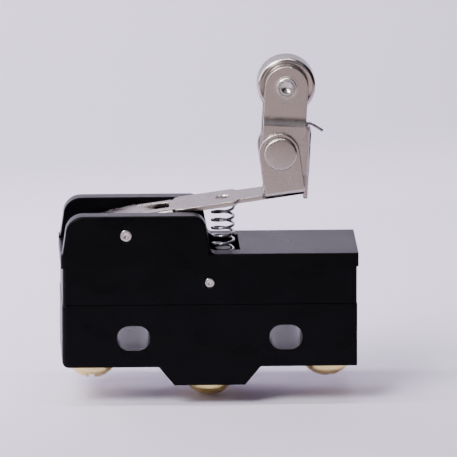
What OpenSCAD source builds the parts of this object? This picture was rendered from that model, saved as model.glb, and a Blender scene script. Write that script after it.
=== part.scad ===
// Basic snap-action limit switch with a one-way roller lever and three screw terminals.
// The origin is the midpoint of the two mounting slots on the middle plane of the case.
// X runs along the case, Y from its front to its back, and Z towards the roller.

/* [Case] */
// Length of the case
case_l = 49.2; // [49:0.1:50]
// Thickness of the case, front to back
case_t = 17.45; // [17.2:0.05:18]
// Depth of the case below the slot line
case_drop = 5; // [4.8:0.1:5.4]
// Height of the parting line above the slot line
parting_z = 5.7; // [5.6:0.05:5.8]
// Height of the top face above the slot line
top_z = 14.3; // [14.2:0.05:14.5]
// Distance between the two mounting slots
slot_pitch = 25.4; // [25.2:0.1:25.6]
// Width of a mounting slot, across its length
slot_w = 4.2; // [4.2:0.05:4.5]
// End-to-end length of a mounting slot
slot_l = 5.6; // [5:0.1:5.8]

/* [Lever ears of the cover] */
// Height of the ears above the slot line
ear_z = 20.8; // [20.4:0.1:21.2]
// Clear width between the ears
ear_gap = 11.2; // [11:0.1:11.6]
// Right end of the ears at the top face
ear_right_x = 0.2; // [0:0.1:0.4]
// Place of the lever's hinge pin along the case
hinge_x = -13.93; // [-14.1:0.01:-13.8]
// Height of the lever's hinge pin
hinge_z = 17.5; // [17.4:0.05:17.6]
// Diameter of the lever's hinge pin
hinge_pin_d = 2; // [1.9:0.05:2.1]

/* [Lever] */
// Slope of the lever at rest, in degrees
lever_slope = 8; // [7.8:0.1:8.2]
// Thickness of the lever sheet
lever_t = 0.8; // [0.75:0.01:0.82]
// Width of the lever's wide part
lever_w = 9.4; // [9:0.1:9.6]
// Width of the lever between its hinge lugs
hinge_w = 8.2; // [8:0.1:8.4]
// Width of the lever's neck
neck_w = 6.9; // [6.5:0.1:7]
// Outside width of the fork that holds the roller arm
fork_w = 8.6; // [8.6:0.02:8.7]

/* [Roller arm] */
// Lean of the roller arm at rest, in degrees
arm_lean = 3; // [2.8:0.1:3]
// Thickness of the arm sheet
arm_t = 0.75; // [0.7:0.01:0.76]
// Height of the roller above the arm's pivot
roller_rise = 11; // [10.8:0.1:11.4]
// Diameter of the roller
roller_d = 9.7; // [9:0.1:10]
// Width of the roller
roller_w = 4.4; // [4.2:0.1:4.5]
// Diameter of the roller's axle
axle_d = 2.5; // [2.4:0.05:2.6]

/* [Terminals] */
// Distance from the middle terminal to each outer one
terminal_pitch = 19.6; // [19.5:0.05:19.7]
// Diameter of a terminal screw's head
screw_head_d = 7.2; // [7:0.1:7.6]
// Height of a terminal screw's head
screw_head_h = 2.7; // [2.5:0.1:2.8]
// Diameter of a terminal screw's thread
screw_d = 3.9; // [3.8:0.05:3.95]

/* [Snap mechanism] */
// Place of the plunger along the case
plunger_x = 2.5; // [2.4:0.1:2.6]
// Diameter of the plunger's stem
plunger_d = 3.6; // [3.4:0.05:3.7]
// Gap between the open contacts
contact_gap = 0.55; // [0.55:0.01:0.6]
// Outside diameter of the lever's return spring
return_spring_d = 4.1; // [4:0.05:4.2]
// Number of turns of the return spring
return_spring_turns = 6; // [5:0.5:6.5]

/* [Hidden] */

$fn = 48;
eps = 0.01;
press_gap = 0.01;
run_gap = 0.05;
slide_gap = 0.1;

// Case
half_l = case_l / 2;
half_t = case_t / 2;
bump_z = -8.15;
bump_x_bottom = 5.9;
bump_x_top = 8.5;
left_corner_r = 1;
right_corner_r = 0.4;
chamber_floor_z = 3.6;
chamber_corner = 1;
wall = 1.4;
spigot_wall = 0.8;
spigot_z = 7.2;
rivet_x = 0;
rivet_z = 9.39;
rivet_d = 1.6;
rivet_tab_w = 5;
rivet_tab_z = 10.7;
rivet_hole_l = 4;
pin_recess = 0.1;
pin_dimple = 0.22;
screw_hole_d = screw_d + 0.4;
screw_hole_depth = 6.6;

// Cover
band_z = 12.1;
band_inset = 0.1;
lip = 0.2;
channel_floor_z = 14;
pocket_floor_z = 10.9;
pocket_left_x = -4.2;
pocket_right_x = 5.15;
pocket_w = 10.9;
pocket_wall = 0.85;
ceiling_z = 12.7;
guide_ceiling_z = 9.7;
guide_boss_z = 11.4;
guide_boss_d = 6;
ear_left_top_x = -24;
ear_right_top_x = -0.6;
ear_left_r = 3;
ear_right_r = 2.2;

// Lever, in its own frame: u along the lever and w away from the case, from the hinge pin
plate_low = 1.49;
plate_high = plate_low + lever_t;
lug_r = 2.2;
lug_end_u = 8.6;
lug_end_h = 0.8;
bend_u = 2.2;
tail_bend = 4.3;
tail_l = 8.6;
tail_w = 6;
tail_shoulder_l = 5;
hinge_end_u = 9;
wide_start_u = 9.6;
wide_end_u = 18.4;
neck_start_u = 19.4;
window_u = [2.6, 7.8];
window_w = 3.8;
lanced_l = 3;
lanced_drop = 14;
lanced_side_gap = 0.3;
dimple_u = 16.85;
dimple_d = 3;
dimple_depth = 1.2;
dimple_wall = 0.35;
fork_u = [23.85, 30.6];
plate_end_u = 30.2;
fork_foot_step = 0.4;
fork_bend_r = 1.2;
pivot_u = 27.4;
pivot_w = 9.08;
fork_ear_top = 5.5;

// Roller arm, in its own frame: a to the right and b up, from its pivot
arm_low_w = fork_w - 2 * lever_t - 2 * run_gap;
arm_high_w = arm_low_w - 0.7;
arm_left_a = -3.1;
web_a = 5.05;
arm_bottom_b = -3.8;
web_top_b = 3.6;
web_notch = 0.9;
joggle_b = [4.4, 5.9];
arm_ear_r = 3.6;
roller_a = 0.5;
stop_tongue_w = 3.6;
stop_tongue_b = -8.1;
pivot_d = 2.6;
pivot_head_d = 5.5;
pivot_head_h = 0.85;
pivot_far_head_d = 4.4;
pivot_far_head_h = 0.6;
axle_flare = 0.3;
axle_flare_h = 0.2;
roller_chamfer = 0.45;

pivot_x = hinge_x + pivot_u * cos(lever_slope) - pivot_w * sin(lever_slope);
pivot_z = hinge_z + pivot_u * sin(lever_slope) + pivot_w * cos(lever_slope);

// Terminals
plate_t = 1;
plate_proud = 0.15;
washer_t = 0.85;
washer_d = 7.7;
middle_x = 0.2;
terminal_x = [middle_x - terminal_pitch, middle_x, middle_x + terminal_pitch];
terminal_face_z = [-case_drop, bump_z, -case_drop];
terminal_plate_w = 8.4;
riser_w = 4;
riser_t = 0.8;
riser_y = 3.6;
strip_t = 0.8;
strip_w = 4;
screw_rim_h = 0.9;
screw_end_gap = 0.6;
screw_slot_t = 1.1;
screw_slot_depth = 1.1;
screw_slot_l = [2 * screw_head_d, 0.6 * screw_head_d];
screw_turn = [35, 90, 145];
washer_teeth = 12;
washer_tooth_gap = 0.7;
washer_tooth_l = 0.8;

// Snap mechanism
blade_z = 7.05;
blade_t = 0.3;
blade_left_x = -21;
blade_root_x = -14.8;
blade_end_x = 16.9;
blade_w = 8;
blade_rail_w = 1.8;
tongue_w = 2.8;
contact_x = 15;
contact_d = 3.2;
contact_h = 0.9;
fixed_contact_d = contact_d + 0.4;
contact_top_z = blade_z + blade_t + contact_h;
contact_low_z = blade_z - contact_h;
closed_gap = 0.02;
com_flange_z = blade_z - strip_t;
nc_strip_z = 9.2;
blade_rivet_x = -17.6;
blade_rivet_y = 2;
blade_rivet_head_d = 2.8;
blade_rivet_head_h = 0.5;
contact_stem_d = 1.4;
blade_nose_taper = 14;
blade_window_x = [-12.4, 9.6];
anchor_t = 0.7;
anchor_w = 6.4;
anchor_step_x = -13;
anchor_post_x = -8;
anchor_post_t = 1.2;
anchor_notch_z = 5.2;
anchor_notch = 0.8;
anchor_top_z = 6;
anchor_low_z = chamber_floor_z + 0.3;
tongue_end_x = -7.55;
tongue_sag = 1.1;
plunger_gap = 0.23;
plunger_foot_z = blade_z + blade_t + plunger_gap;
plunger_seat_z = 12;
plunger_seat_d = 4.6;
plunger_seat_h = 0.7;
plunger_nub_d = 2.6;
plunger_nub_h = 0.7;

// Springs
return_wire_d = 0.42;
dead_turn = 0.9;
torsion_wire_d = 0.5;
torsion_r = 1.95;
torsion_turns = 6;
torsion_half_w = 1.75;
torsion_start = 180;
torsion_end = 110;
wire_sides = 8;
steps_per_turn = 16;

// Colours
body_black = [0.07, 0.065, 0.08];
nickel = [0.7, 0.66, 0.64];
brass_yellow = [0.85, 0.68, 0.32];
silver_grey = [0.8, 0.8, 0.82];
copper_brown = [0.72, 0.45, 0.28];
plunger_red = [0.45, 0.1, 0.08];

// Points on an arc about c, from angle a0 to a1
function arc(c, r, a0, a1, n = 8) =
    [for (i = [0:n]) c + r * [cos(a0 + (a1 - a0) * i / n), sin(a0 + (a1 - a0) * i / n)]];

// Extrudes an outline drawn in X and Z along Y, from y0 to y1
module slab_y(y0, y1) {
    translate([0, y1, 0]) rotate([90, 0, 0]) linear_extrude(y1 - y0) children();
}

// A block between two opposite corners
module block(low, high) {
    translate(low) cube(high - low);
}

// A round bar along Y, centred at x and z
module bar_y(x, z, d, y0, y1) {
    translate([x, y1, z]) rotate([90, 0, 0]) cylinder(d = d, h = y1 - y0);
}

// Plan of the case with small corners on the right and larger ones on the left
module case_plan(grow_l, grow_t) {
    hl = half_l + grow_l;
    ht = half_t + grow_t;
    difference() {
        translate([-hl, -ht]) square([2 * hl, 2 * ht]);
        for (s = [-1, 1]) {
            scale([1, s]) corner_cut([-hl, ht], [1, -1], left_corner_r);
            scale([1, s]) corner_cut([hl, ht], [-1, -1], right_corner_r);
        }
    }
}

// What a rounded corner takes away; way points from the corner into the shape
module corner_cut(corner, way, r) {
    difference() {
        translate(corner - eps * way) scale(way) square(r + eps);
        translate(corner + r * way) circle(r);
    }
}

// Frames of the lever and of the roller arm
module lever_frame() {
    translate([hinge_x, 0, hinge_z]) rotate([0, -lever_slope, 0]) children();
}

module arm_frame() {
    translate([pivot_x, 0, pivot_z]) rotate([0, arm_lean, 0]) children();
}

// Wire along a list of points; side is a direction that no stretch runs along
module wire(path, d, side) {
    last = len(path) - 1;
    unit = function (v) v / norm(v);
    ring = function (i)
        let (
            ahead = unit(path[min(i + 1, last)] - path[max(i - 1, 0)]),
            across = unit(cross(side, ahead)),
            up = cross(ahead, across)
        )
        [for (k = [0:wire_sides - 1])
            path[i] + d / 2 * (across * cos(360 * k / wire_sides) + up * sin(360 * k / wire_sides))];
    points = [for (i = [0:last]) each ring(i)];
    sides = [
        for (i = [0:last - 1], k = [0:wire_sides - 1])
            let (a = i * wire_sides + k, b = i * wire_sides + (k + 1) % wire_sides)
            each [[a, b, b + wire_sides], [a, b + wire_sides, a + wire_sides]]
    ];
    first_cap = [for (k = [0:wire_sides - 1]) wire_sides - 1 - k];
    last_cap = [for (k = [0:wire_sides - 1]) last * wire_sides + k];
    polyhedron(points, [for (f = concat([first_cap], sides, [last_cap])) [for (i = [len(f) - 1:-1:0]) f[i]]]);
}

// Case

module base_outline() {
    difference() {
        polygon([
            [-half_l, parting_z], [half_l, parting_z], [half_l, -case_drop],
            [bump_x_top, -case_drop], [bump_x_bottom, bump_z],
            [-bump_x_bottom, bump_z], [-bump_x_top, -case_drop], [-half_l, -case_drop]
        ]);
        corner_cut([-half_l, -case_drop], [1, 1], left_corner_r);
    }
}

module mounting_slot(x) {
    slab_y(-half_t - eps, half_t + eps) {
        for (s = [-1, 1]) translate([x + s * (slot_l - slot_w) / 2, 0]) circle(d = slot_w);
        translate([x - (slot_l - slot_w) / 2, -slot_w / 2]) square([slot_l - slot_w, slot_w]);
    }
}

// The rim that locates the cover, with a taller tab for each cover rivet
module base_spigot() {
    outer_x = half_l - wall - slide_gap;
    outer_y = half_t - wall - slide_gap;
    inner_x = outer_x - spigot_wall;
    inner_y = outer_y - spigot_wall;
    difference() {
        union() {
            block([-outer_x, -outer_y, parting_z - eps], [outer_x, outer_y, spigot_z]);
            block([-rivet_tab_w / 2, -outer_y, parting_z], [rivet_tab_w / 2, outer_y, rivet_tab_z]);
        }
        block([-inner_x, -inner_y, parting_z - 1], [inner_x, inner_y, rivet_tab_z + 1]);
    }
}

module terminal_recess(x, face_z) {
    recess_w = terminal_plate_w + slide_gap;
    block([x - recess_w / 2, -recess_w / 2, face_z - eps],
        [x + recess_w / 2, recess_w / 2, face_z + plate_t - plate_proud]);
    translate([x, 0, face_z]) cylinder(d = screw_hole_d, h = screw_hole_depth);
    block([x - riser_w / 2 - run_gap, riser_y - run_gap, face_z],
        [x + riser_w / 2 + run_gap, riser_y + riser_t + run_gap, chamber_floor_z + eps]);
}

module case_base() {
    color(body_black) difference() {
        union() {
            intersection() {
                slab_y(-half_t, half_t) base_outline();
                translate([0, 0, bump_z]) linear_extrude(parting_z - bump_z) case_plan(0, 0);
            }
            base_spigot();
        }
        for (s = [-1, 1]) mounting_slot(s * slot_pitch / 2);
        block([-half_l + wall + chamber_corner, -half_t + wall + chamber_corner, chamber_floor_z],
            [half_l - wall - chamber_corner, half_t - wall - chamber_corner, parting_z + eps]);
        for (i = [0:2]) terminal_recess(terminal_x[i], terminal_face_z[i]);
        for (s = [-1, 1])
            bar_y(rivet_x, rivet_z, rivet_d + 2 * press_gap, s * half_t - rivet_hole_l, s * half_t + rivet_hole_l);
    }
}

// Cover

module ear_outline() {
    polygon(concat(
        [[-half_l + band_inset, band_z], [-half_l + band_inset, top_z]],
        arc([ear_left_top_x + ear_left_r, ear_z - ear_left_r], ear_left_r, 180, 90),
        arc([ear_right_top_x - ear_right_r, ear_z - ear_right_r], ear_right_r, 90, 5),
        [[ear_right_x, top_z], [ear_right_x, band_z]]
    ));
}

module cover_shell() {
    translate([0, 0, parting_z]) linear_extrude(band_z - parting_z) case_plan(-band_inset, 0);
    translate([0, 0, band_z]) linear_extrude(top_z - band_z) case_plan(lip, -band_inset / 2);
    for (s = [-1, 1]) {
        y_out = s * (half_t - band_inset / 2);
        y_in = s * ear_gap / 2;
        slab_y(min(y_out, y_in), max(y_out, y_in)) ear_outline();
    }
}

module cover_chamber() {
    difference() {
        block([-half_l + wall, -half_t + wall, parting_z - eps], [half_l - wall, half_t - wall, ceiling_z]);
        block([pocket_left_x - pocket_wall, -pocket_w / 2 - pocket_wall, guide_ceiling_z],
            [pocket_right_x + pocket_wall, pocket_w / 2 + pocket_wall, ceiling_z + 1]);
    }
}

module cover() {
    color(body_black) difference() {
        union() {
            difference() {
                cover_shell();
                cover_chamber();
                block([-half_l - lip - eps, -ear_gap / 2, channel_floor_z],
                    [ear_right_x + 1, ear_gap / 2, ear_z]);
                block([pocket_left_x, -pocket_w / 2, pocket_floor_z],
                    [pocket_right_x, pocket_w / 2, ear_z]);
            }
            translate([plunger_x, 0, pocket_floor_z - eps])
                cylinder(d = guide_boss_d, h = guide_boss_z - pocket_floor_z);
        }
        translate([plunger_x, 0, guide_ceiling_z - 1])
            cylinder(d = plunger_d + 2 * run_gap, h = guide_boss_z - guide_ceiling_z + 2);
        bar_y(hinge_x, hinge_z, hinge_pin_d + 2 * press_gap, -half_t - 1, half_t + 1);
        for (s = [-1, 1]) bar_y(rivet_x, rivet_z, rivet_d + 2 * press_gap, s * half_t - 2, s * half_t + 2);
    }
}

// A pin along Y with a small conical dimple in each end
module dimpled_pin(x, z, d, y0, y1) {
    dimple_r = d * pin_dimple;
    difference() {
        bar_y(x, z, d, y0, y1);
        translate([x, y0 - eps, z]) rotate([-90, 0, 0]) cylinder(r1 = dimple_r, r2 = eps, h = dimple_r);
        translate([x, y1 + eps, z]) rotate([90, 0, 0]) cylinder(r1 = dimple_r, r2 = eps, h = dimple_r);
    }
}

module hinge_pin() {
    color(silver_grey) dimpled_pin(hinge_x, hinge_z, hinge_pin_d, -half_t + pin_recess, half_t - pin_recess);
}

module cover_rivets() {
    inner = half_t - wall - slide_gap - spigot_wall;
    color(silver_grey) {
        bar_y(rivet_x, rivet_z, rivet_d, -half_t + run_gap, -inner);
        bar_y(rivet_x, rivet_z, rivet_d, inner, half_t - run_gap);
    }
}

// Terminals

// The plate under the screw and the riser that leads from it into the case
module terminal_blank(x, face_z, riser_top) {
    low = face_z - plate_proud;
    difference() {
        union() {
            block([x - terminal_plate_w / 2, -terminal_plate_w / 2, low],
                [x + terminal_plate_w / 2, terminal_plate_w / 2, low + plate_t]);
            block([x - riser_w / 2, riser_y, low], [x + riser_w / 2, riser_y + riser_t, riser_top]);
        }
        translate([x, 0, low - eps]) cylinder(d = screw_d + 2 * run_gap, h = plate_t + 2 * eps);
    }
}

module com_terminal() {
    x = terminal_x[0];
    color(brass_yellow) difference() {
        union() {
            terminal_blank(x, terminal_face_z[0], blade_z);
            block([x - riser_w / 2, -riser_y, com_flange_z], [blade_root_x, riser_y + riser_t, blade_z]);
        }
        blade_rivet_holes();
    }
}

module no_terminal() {
    x = terminal_x[1];
    color(brass_yellow) {
        terminal_blank(x, terminal_face_z[1], chamber_floor_z + strip_t);
        block([x - riser_w / 2, -strip_w / 2, chamber_floor_z],
            [x + riser_w / 2, riser_y + riser_t, chamber_floor_z + strip_t]);
        block([x, -strip_w / 2, chamber_floor_z], [contact_x + 2, strip_w / 2, chamber_floor_z + strip_t]);
    }
}

module nc_terminal() {
    x = terminal_x[2];
    color(brass_yellow) {
        terminal_blank(x, terminal_face_z[2], nc_strip_z + strip_t);
        block([contact_x - strip_w / 2, -strip_w / 2, nc_strip_z],
            [x + riser_w / 2, riser_y + riser_t, nc_strip_z + strip_t]);
    }
}

module terminal_screw(i) {
    seat_z = terminal_face_z[i] - plate_proud - washer_t;
    dome_h = screw_head_h - screw_rim_h;
    dome_r = (pow(screw_head_d / 2, 2) + dome_h * dome_h) / (2 * dome_h);
    rim_angle = asin(screw_head_d / 2 / dome_r);
    color(brass_yellow) translate([terminal_x[i], 0, seat_z]) difference() {
        union() {
            mirror([0, 0, 1]) rotate_extrude() polygon(concat(
                [[0, 0], [screw_head_d / 2, 0]],
                arc([0, screw_head_h - dome_r], dome_r, 90 - rim_angle, 90, 8)
            ));
            cylinder(d = screw_d, h = screw_hole_depth - screw_end_gap);
        }
        for (k = [0, 1]) rotate([0, 0, screw_turn[i] + 90 * k])
            translate([-screw_slot_l[k] / 2, -screw_slot_t / 2, -screw_head_h - eps])
                cube([screw_slot_l[k], screw_slot_t, screw_slot_depth]);
    }
}

module com_screw() {
    terminal_screw(0);
}

module no_screw() {
    terminal_screw(1);
}

module nc_screw() {
    terminal_screw(2);
}

// A lock washer with teeth round its rim
module lock_washer(i) {
    low = terminal_face_z[i] - plate_proud - washer_t;
    color(brass_yellow) translate([terminal_x[i], 0, low]) difference() {
        cylinder(d = washer_d, h = washer_t);
        translate([0, 0, -eps]) cylinder(d = screw_d + 2 * slide_gap, h = washer_t + 2 * eps);
        for (k = [0:washer_teeth - 1]) rotate([0, 0, 360 * k / washer_teeth])
            translate([washer_d / 2 - washer_tooth_l, -washer_tooth_gap / 2, -eps])
                cube([2 * washer_tooth_l, washer_tooth_gap, washer_t + 2 * eps]);
    }
}

module com_washer() {
    lock_washer(0);
}

module no_washer() {
    lock_washer(1);
}

module nc_washer() {
    lock_washer(2);
}

// Snap mechanism

module blade_rivet_holes() {
    for (s = [-1, 1]) translate([blade_rivet_x, s * blade_rivet_y, com_flange_z - 2])
        cylinder(d = rivet_d + 2 * press_gap, h = 5);
}

// The bracket under the blade whose notch holds the end of the blade's tongue
module tongue_anchor() {
    half_w = anchor_w / 2;
    leaf_left_x = blade_left_x + anchor_t;
    color(silver_grey) difference() {
        union() {
            block([leaf_left_x, -half_w, com_flange_z - anchor_t], [anchor_step_x, half_w, com_flange_z]);
            block([anchor_step_x - anchor_t, -half_w, anchor_low_z], [anchor_step_x, half_w, com_flange_z]);
            block([anchor_step_x - anchor_t, -half_w / 2, anchor_low_z],
                [anchor_post_x, half_w / 2, anchor_low_z + anchor_t]);
            block([anchor_post_x - anchor_post_t, -half_w / 2, anchor_low_z],
                [anchor_post_x, half_w / 2, anchor_top_z]);
        }
        translate([anchor_post_x, 0, anchor_notch_z]) rotate([0, 45, 0])
            cube([anchor_notch, anchor_w, anchor_notch], center = true);
        blade_rivet_holes();
    }
}

module blade_rivets() {
    low = com_flange_z - anchor_t;
    high = blade_z + blade_t;
    color(silver_grey) for (s = [-1, 1]) translate([blade_rivet_x, s * blade_rivet_y, low]) {
        cylinder(d = rivet_d, h = high - low);
        for (z = [-blade_rivet_head_h, high - low])
            translate([0, 0, z]) cylinder(d = blade_rivet_head_d, h = blade_rivet_head_h);
    }
}

// The bowed tongue between the rails, from the contact end back to the anchor's notch
module blade_tongue() {
    start = [blade_window_x[1], blade_z];
    end = [tongue_end_x, anchor_notch_z];
    n = 12;
    bow = [for (i = [0:n]) let (t = i / n)
        start + (end - start) * t + [0, -tongue_sag * 4 * t * (1 - t) * (1 - 0.6 * t)]];
    slab_y(-tongue_w / 2 + slide_gap, tongue_w / 2 - slide_gap)
        polygon(concat(bow, [for (i = [n:-1:0]) bow[i] + [0, blade_t]]));
}

module snap_blade() {
    nose_x = contact_x - contact_d;
    color(copper_brown) {
        difference() {
            block([blade_left_x, -blade_w / 2, blade_z], [blade_end_x, blade_w / 2, blade_z + blade_t]);
            block([blade_window_x[0], -blade_w / 2 + blade_rail_w, blade_z - eps],
                [blade_window_x[1], blade_w / 2 - blade_rail_w, blade_z + blade_t + eps]);
            for (s = [-1, 1]) translate([nose_x, s * blade_w / 2, blade_z - eps])
                rotate([0, 0, -s * blade_nose_taper]) translate([0, s < 0 ? -blade_w : 0, 0])
                    cube([blade_w, blade_w, 2 * blade_t]);
            translate([contact_x, 0, blade_z - eps])
                cylinder(d = contact_stem_d + 2 * press_gap, h = 2 * blade_t);
            blade_rivet_holes();
        }
        blade_tongue();
    }
}

module moving_contact() {
    color(silver_grey) translate([contact_x, 0, 0]) {
        translate([0, 0, contact_low_z]) cylinder(d = contact_d, h = contact_h);
        translate([0, 0, contact_low_z]) cylinder(d = contact_stem_d, h = contact_top_z - contact_low_z);
        translate([0, 0, blade_z + blade_t]) cylinder(d = contact_d, h = contact_h);
    }
}

module nc_contact() {
    low = contact_top_z + closed_gap;
    color(silver_grey) translate([contact_x, 0, low]) cylinder(d = fixed_contact_d, h = nc_strip_z - low);
}

module no_contact() {
    low = chamber_floor_z + strip_t;
    color(silver_grey) translate([contact_x, 0, low])
        cylinder(d = fixed_contact_d, h = contact_low_z - contact_gap - low);
}

module plunger() {
    foot_w = 6.4;
    foot_l = 2.4;
    color(plunger_red) {
        block([plunger_x - foot_l / 2, -foot_w / 2, plunger_foot_z],
            [plunger_x + foot_l / 2, foot_w / 2, guide_ceiling_z - run_gap]);
        translate([plunger_x, 0, plunger_foot_z])
            cylinder(d = plunger_d, h = plunger_seat_z - plunger_foot_z);
        translate([plunger_x, 0, plunger_seat_z - eps]) cylinder(d = plunger_seat_d, h = plunger_seat_h + eps);
        translate([plunger_x, 0, plunger_seat_z])
            cylinder(d = plunger_nub_d, h = plunger_seat_h + plunger_nub_h);
    }
}

// The spring stands on the plunger's seat and its top lies against the sloping lever
module return_spring() {
    r = (return_spring_d - return_wire_d) / 2;
    low = plunger_seat_z + plunger_seat_h + return_wire_d / 2 + closed_gap;
    lever_under_z = hinge_z + (plunger_x - hinge_x) * tan(lever_slope) + plate_low / cos(lever_slope);
    high = lever_under_z - return_wire_d / 2 - r * tan(lever_slope) - run_gap;
    n = return_spring_turns * steps_per_turn;
    close = dead_turn * return_wire_d;
    path = [for (i = [0:n])
        let (
            turn = i / steps_per_turn,
            rise = min(1, max(0, (turn - dead_turn / 2) / (return_spring_turns - dead_turn))),
            a = 360 * turn + 200
        )
        [plunger_x + r * cos(a), r * sin(a),
            low + close * (min(1, turn) + max(0, turn - return_spring_turns + 1))
            + (high - low - 2 * close) * rise]];
    color(nickel) wire(path, return_wire_d, [0, 0, 1]);
}

// Lever

module lever_plate_outline() {
    half_edge = [
        [bend_u, hinge_w / 2], [hinge_end_u, hinge_w / 2], [wide_start_u, lever_w / 2],
        [wide_end_u, lever_w / 2], [neck_start_u, neck_w / 2], [plate_end_u, neck_w / 2]
    ];
    other_edge = [for (i = [len(half_edge) - 1:-1:0]) [half_edge[i][0], -half_edge[i][1]]];
    difference() {
        polygon(concat(half_edge, other_edge));
        translate([window_u[0], -window_w / 2]) square([window_u[1] - window_u[0], window_w]);
        translate([dimple_u, 0]) circle(d = dimple_d - 2 * dimple_wall);
    }
}

// Side outline of a lug, from the hinge pin to the wide part
module lug_outline() {
    in_plate = plate_low + lever_t / 4;
    tangent_turn = -70;
    difference() {
        union() {
            circle(r = lug_r);
            polygon([[-lug_r, 0], [-lug_r, in_plate], [lug_end_u, in_plate],
                [lug_end_u, in_plate - lug_end_h], lug_r * [cos(tangent_turn), sin(tangent_turn)]]);
        }
        circle(d = hinge_pin_d + 2 * run_gap);
    }
}

// Cross-section of the fork: a channel with rounded lower corners
module fork_section(grow) {
    w = fork_w / 2 - grow;
    r = fork_bend_r - grow;
    low = plate_low + grow;
    high = pivot_w + fork_ear_top + grow;
    difference() {
        translate([-w, low]) square([2 * w, high - low]);
        corner_cut([-w, low], [1, 1], r);
        corner_cut([w, low], [-1, 1], r);
    }
}

module fork_side_outline() {
    middle_u = (fork_u[0] + fork_u[1]) / 2;
    half = (fork_u[1] - fork_u[0]) / 2;
    polygon(concat(
        [[fork_u[0], plate_low - 1], [fork_u[0], pivot_w]],
        arc([middle_u, pivot_w], half, 180, 0, 16),
        [[fork_u[1], plate_high + fork_foot_step], [plate_end_u, plate_high], [plate_end_u, plate_low - 1]]
    ));
}

module lever_fork() {
    difference() {
        intersection() {
            translate([fork_u[0] - 1, 0, 0]) rotate([90, 0, 90])
                linear_extrude(fork_u[1] - fork_u[0] + 2) difference() {
                    fork_section(0);
                    fork_section(lever_t);
                }
            slab_y(-fork_w, fork_w) fork_side_outline();
        }
        bar_y(pivot_u, pivot_w, pivot_d + 2 * press_gap, -fork_w, fork_w);
    }
}

// The tail slopes more than the rest of the lever and its end turns down onto the channel floor
module lever_tail() {
    bend_overlap = lever_t / 8;
    tail_slope = lever_slope + tail_bend;
    bend_x = hinge_x + bend_u * cos(lever_slope) - plate_high * sin(lever_slope);
    bend_z = hinge_z + bend_u * sin(lever_slope) + plate_high * cos(lever_slope);
    foot_x = bend_x - (tail_l - lever_t / 2) * cos(tail_slope);
    foot_top_z = bend_z - (tail_l - lever_t / 2) * sin(tail_slope) - lever_t / 2;
    translate([bend_u, 0, plate_high]) rotate([0, -tail_bend, 0]) {
        block([-tail_l, -tail_w / 2, -lever_t], [bend_overlap, tail_w / 2, 0]);
        block([-tail_shoulder_l, -hinge_w / 2, -lever_t], [bend_overlap, hinge_w / 2, 0]);
    }
    rotate([0, lever_slope, 0]) translate([-hinge_x, 0, -hinge_z])
        block([foot_x - lever_t / 2, -tail_w / 2, channel_floor_z + run_gap],
            [foot_x + lever_t / 2, tail_w / 2, foot_top_z]);
}

// The strip lanced out of the window and bent down
module lanced_strip() {
    translate([window_u[0], 0, plate_high]) rotate([0, lanced_drop, 0])
        block([-lever_t / 2, -window_w / 2 + lanced_side_gap, -lever_t],
            [lanced_l, window_w / 2 - lanced_side_gap, 0]);
}

module lever_dimple() {
    translate([dimple_u, 0, plate_low + lever_t / 2 - dimple_depth]) difference() {
        cylinder(d = dimple_d, h = dimple_depth);
        translate([0, 0, dimple_wall]) cylinder(d = dimple_d - 2 * dimple_wall, h = dimple_depth);
    }
}

module lever() {
    color(nickel) lever_frame() {
        translate([0, 0, plate_low]) linear_extrude(lever_t) lever_plate_outline();
        for (s = [-1, 1]) {
            y_out = s * hinge_w / 2;
            y_in = s * (hinge_w / 2 - lever_t);
            slab_y(min(y_out, y_in), max(y_out, y_in)) lug_outline();
        }
        lever_tail();
        lanced_strip();
        lever_dimple();
        lever_fork();
    }
}

module arm_rivet() {
    color(nickel) lever_frame() {
        bar_y(pivot_u, pivot_w, pivot_d, -fork_w / 2, fork_w / 2);
        bar_y(pivot_u, pivot_w, pivot_head_d, -fork_w / 2 - pivot_head_h, -fork_w / 2);
        bar_y(pivot_u, pivot_w, pivot_far_head_d, fork_w / 2, fork_w / 2 + pivot_far_head_h);
    }
}

// One leg bears on the lever and the other lies over the top of the arm's web
module torsion_spring() {
    n = torsion_turns * steps_per_turn;
    sweep = 360 * (torsion_turns - 1) + torsion_start - torsion_end;
    coil = [for (i = [0:n]) let (a = torsion_start - sweep * i / n)
        [torsion_r * cos(a), torsion_half_w * (2 * i / n - 1), torsion_r * sin(a)]];
    lever_leg = [[-2.4, -torsion_half_w, -7.25], [-2.15, -torsion_half_w, -3]];
    web_leg = [
        [2.1, torsion_half_w, 2.6], [web_a - arm_t / 2, torsion_half_w, web_top_b + 0.55],
        [web_a + 2.1, torsion_half_w, web_top_b - 0.7]
    ];
    color(silver_grey) arm_frame() wire(concat(lever_leg, coil, web_leg), torsion_wire_d, [0, 1, 0]);
}

// Roller arm

module arm_low_outline() {
    polygon([
        [arm_left_a, arm_bottom_b + 1], [arm_left_a + 1, arm_bottom_b], [web_a, arm_bottom_b],
        [web_a, web_top_b], [web_a - web_notch, joggle_b[0]], [arm_left_a, joggle_b[0]]
    ]);
}

module arm_high_outline() {
    polygon(concat(
        [[roller_a - arm_ear_r, joggle_b[1]]],
        arc([roller_a, roller_rise], arm_ear_r, 180, 0, 16),
        [[roller_a + arm_ear_r, joggle_b[1]]]
    ));
}

// The joggle leads from the wider lower plates to the upper ears
module arm_joggle(s) {
    low = arm_low_w / 2;
    high = arm_high_w / 2;
    left = roller_a - arm_ear_r;
    translate([left, 0, 0]) rotate([90, 0, 90]) linear_extrude(2 * arm_ear_r) polygon([
        [s * low, joggle_b[0] - eps], [s * high, joggle_b[1] + eps],
        [s * (high - arm_t), joggle_b[1] + eps], [s * (low - arm_t), joggle_b[0] - eps]
    ]);
}

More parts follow.
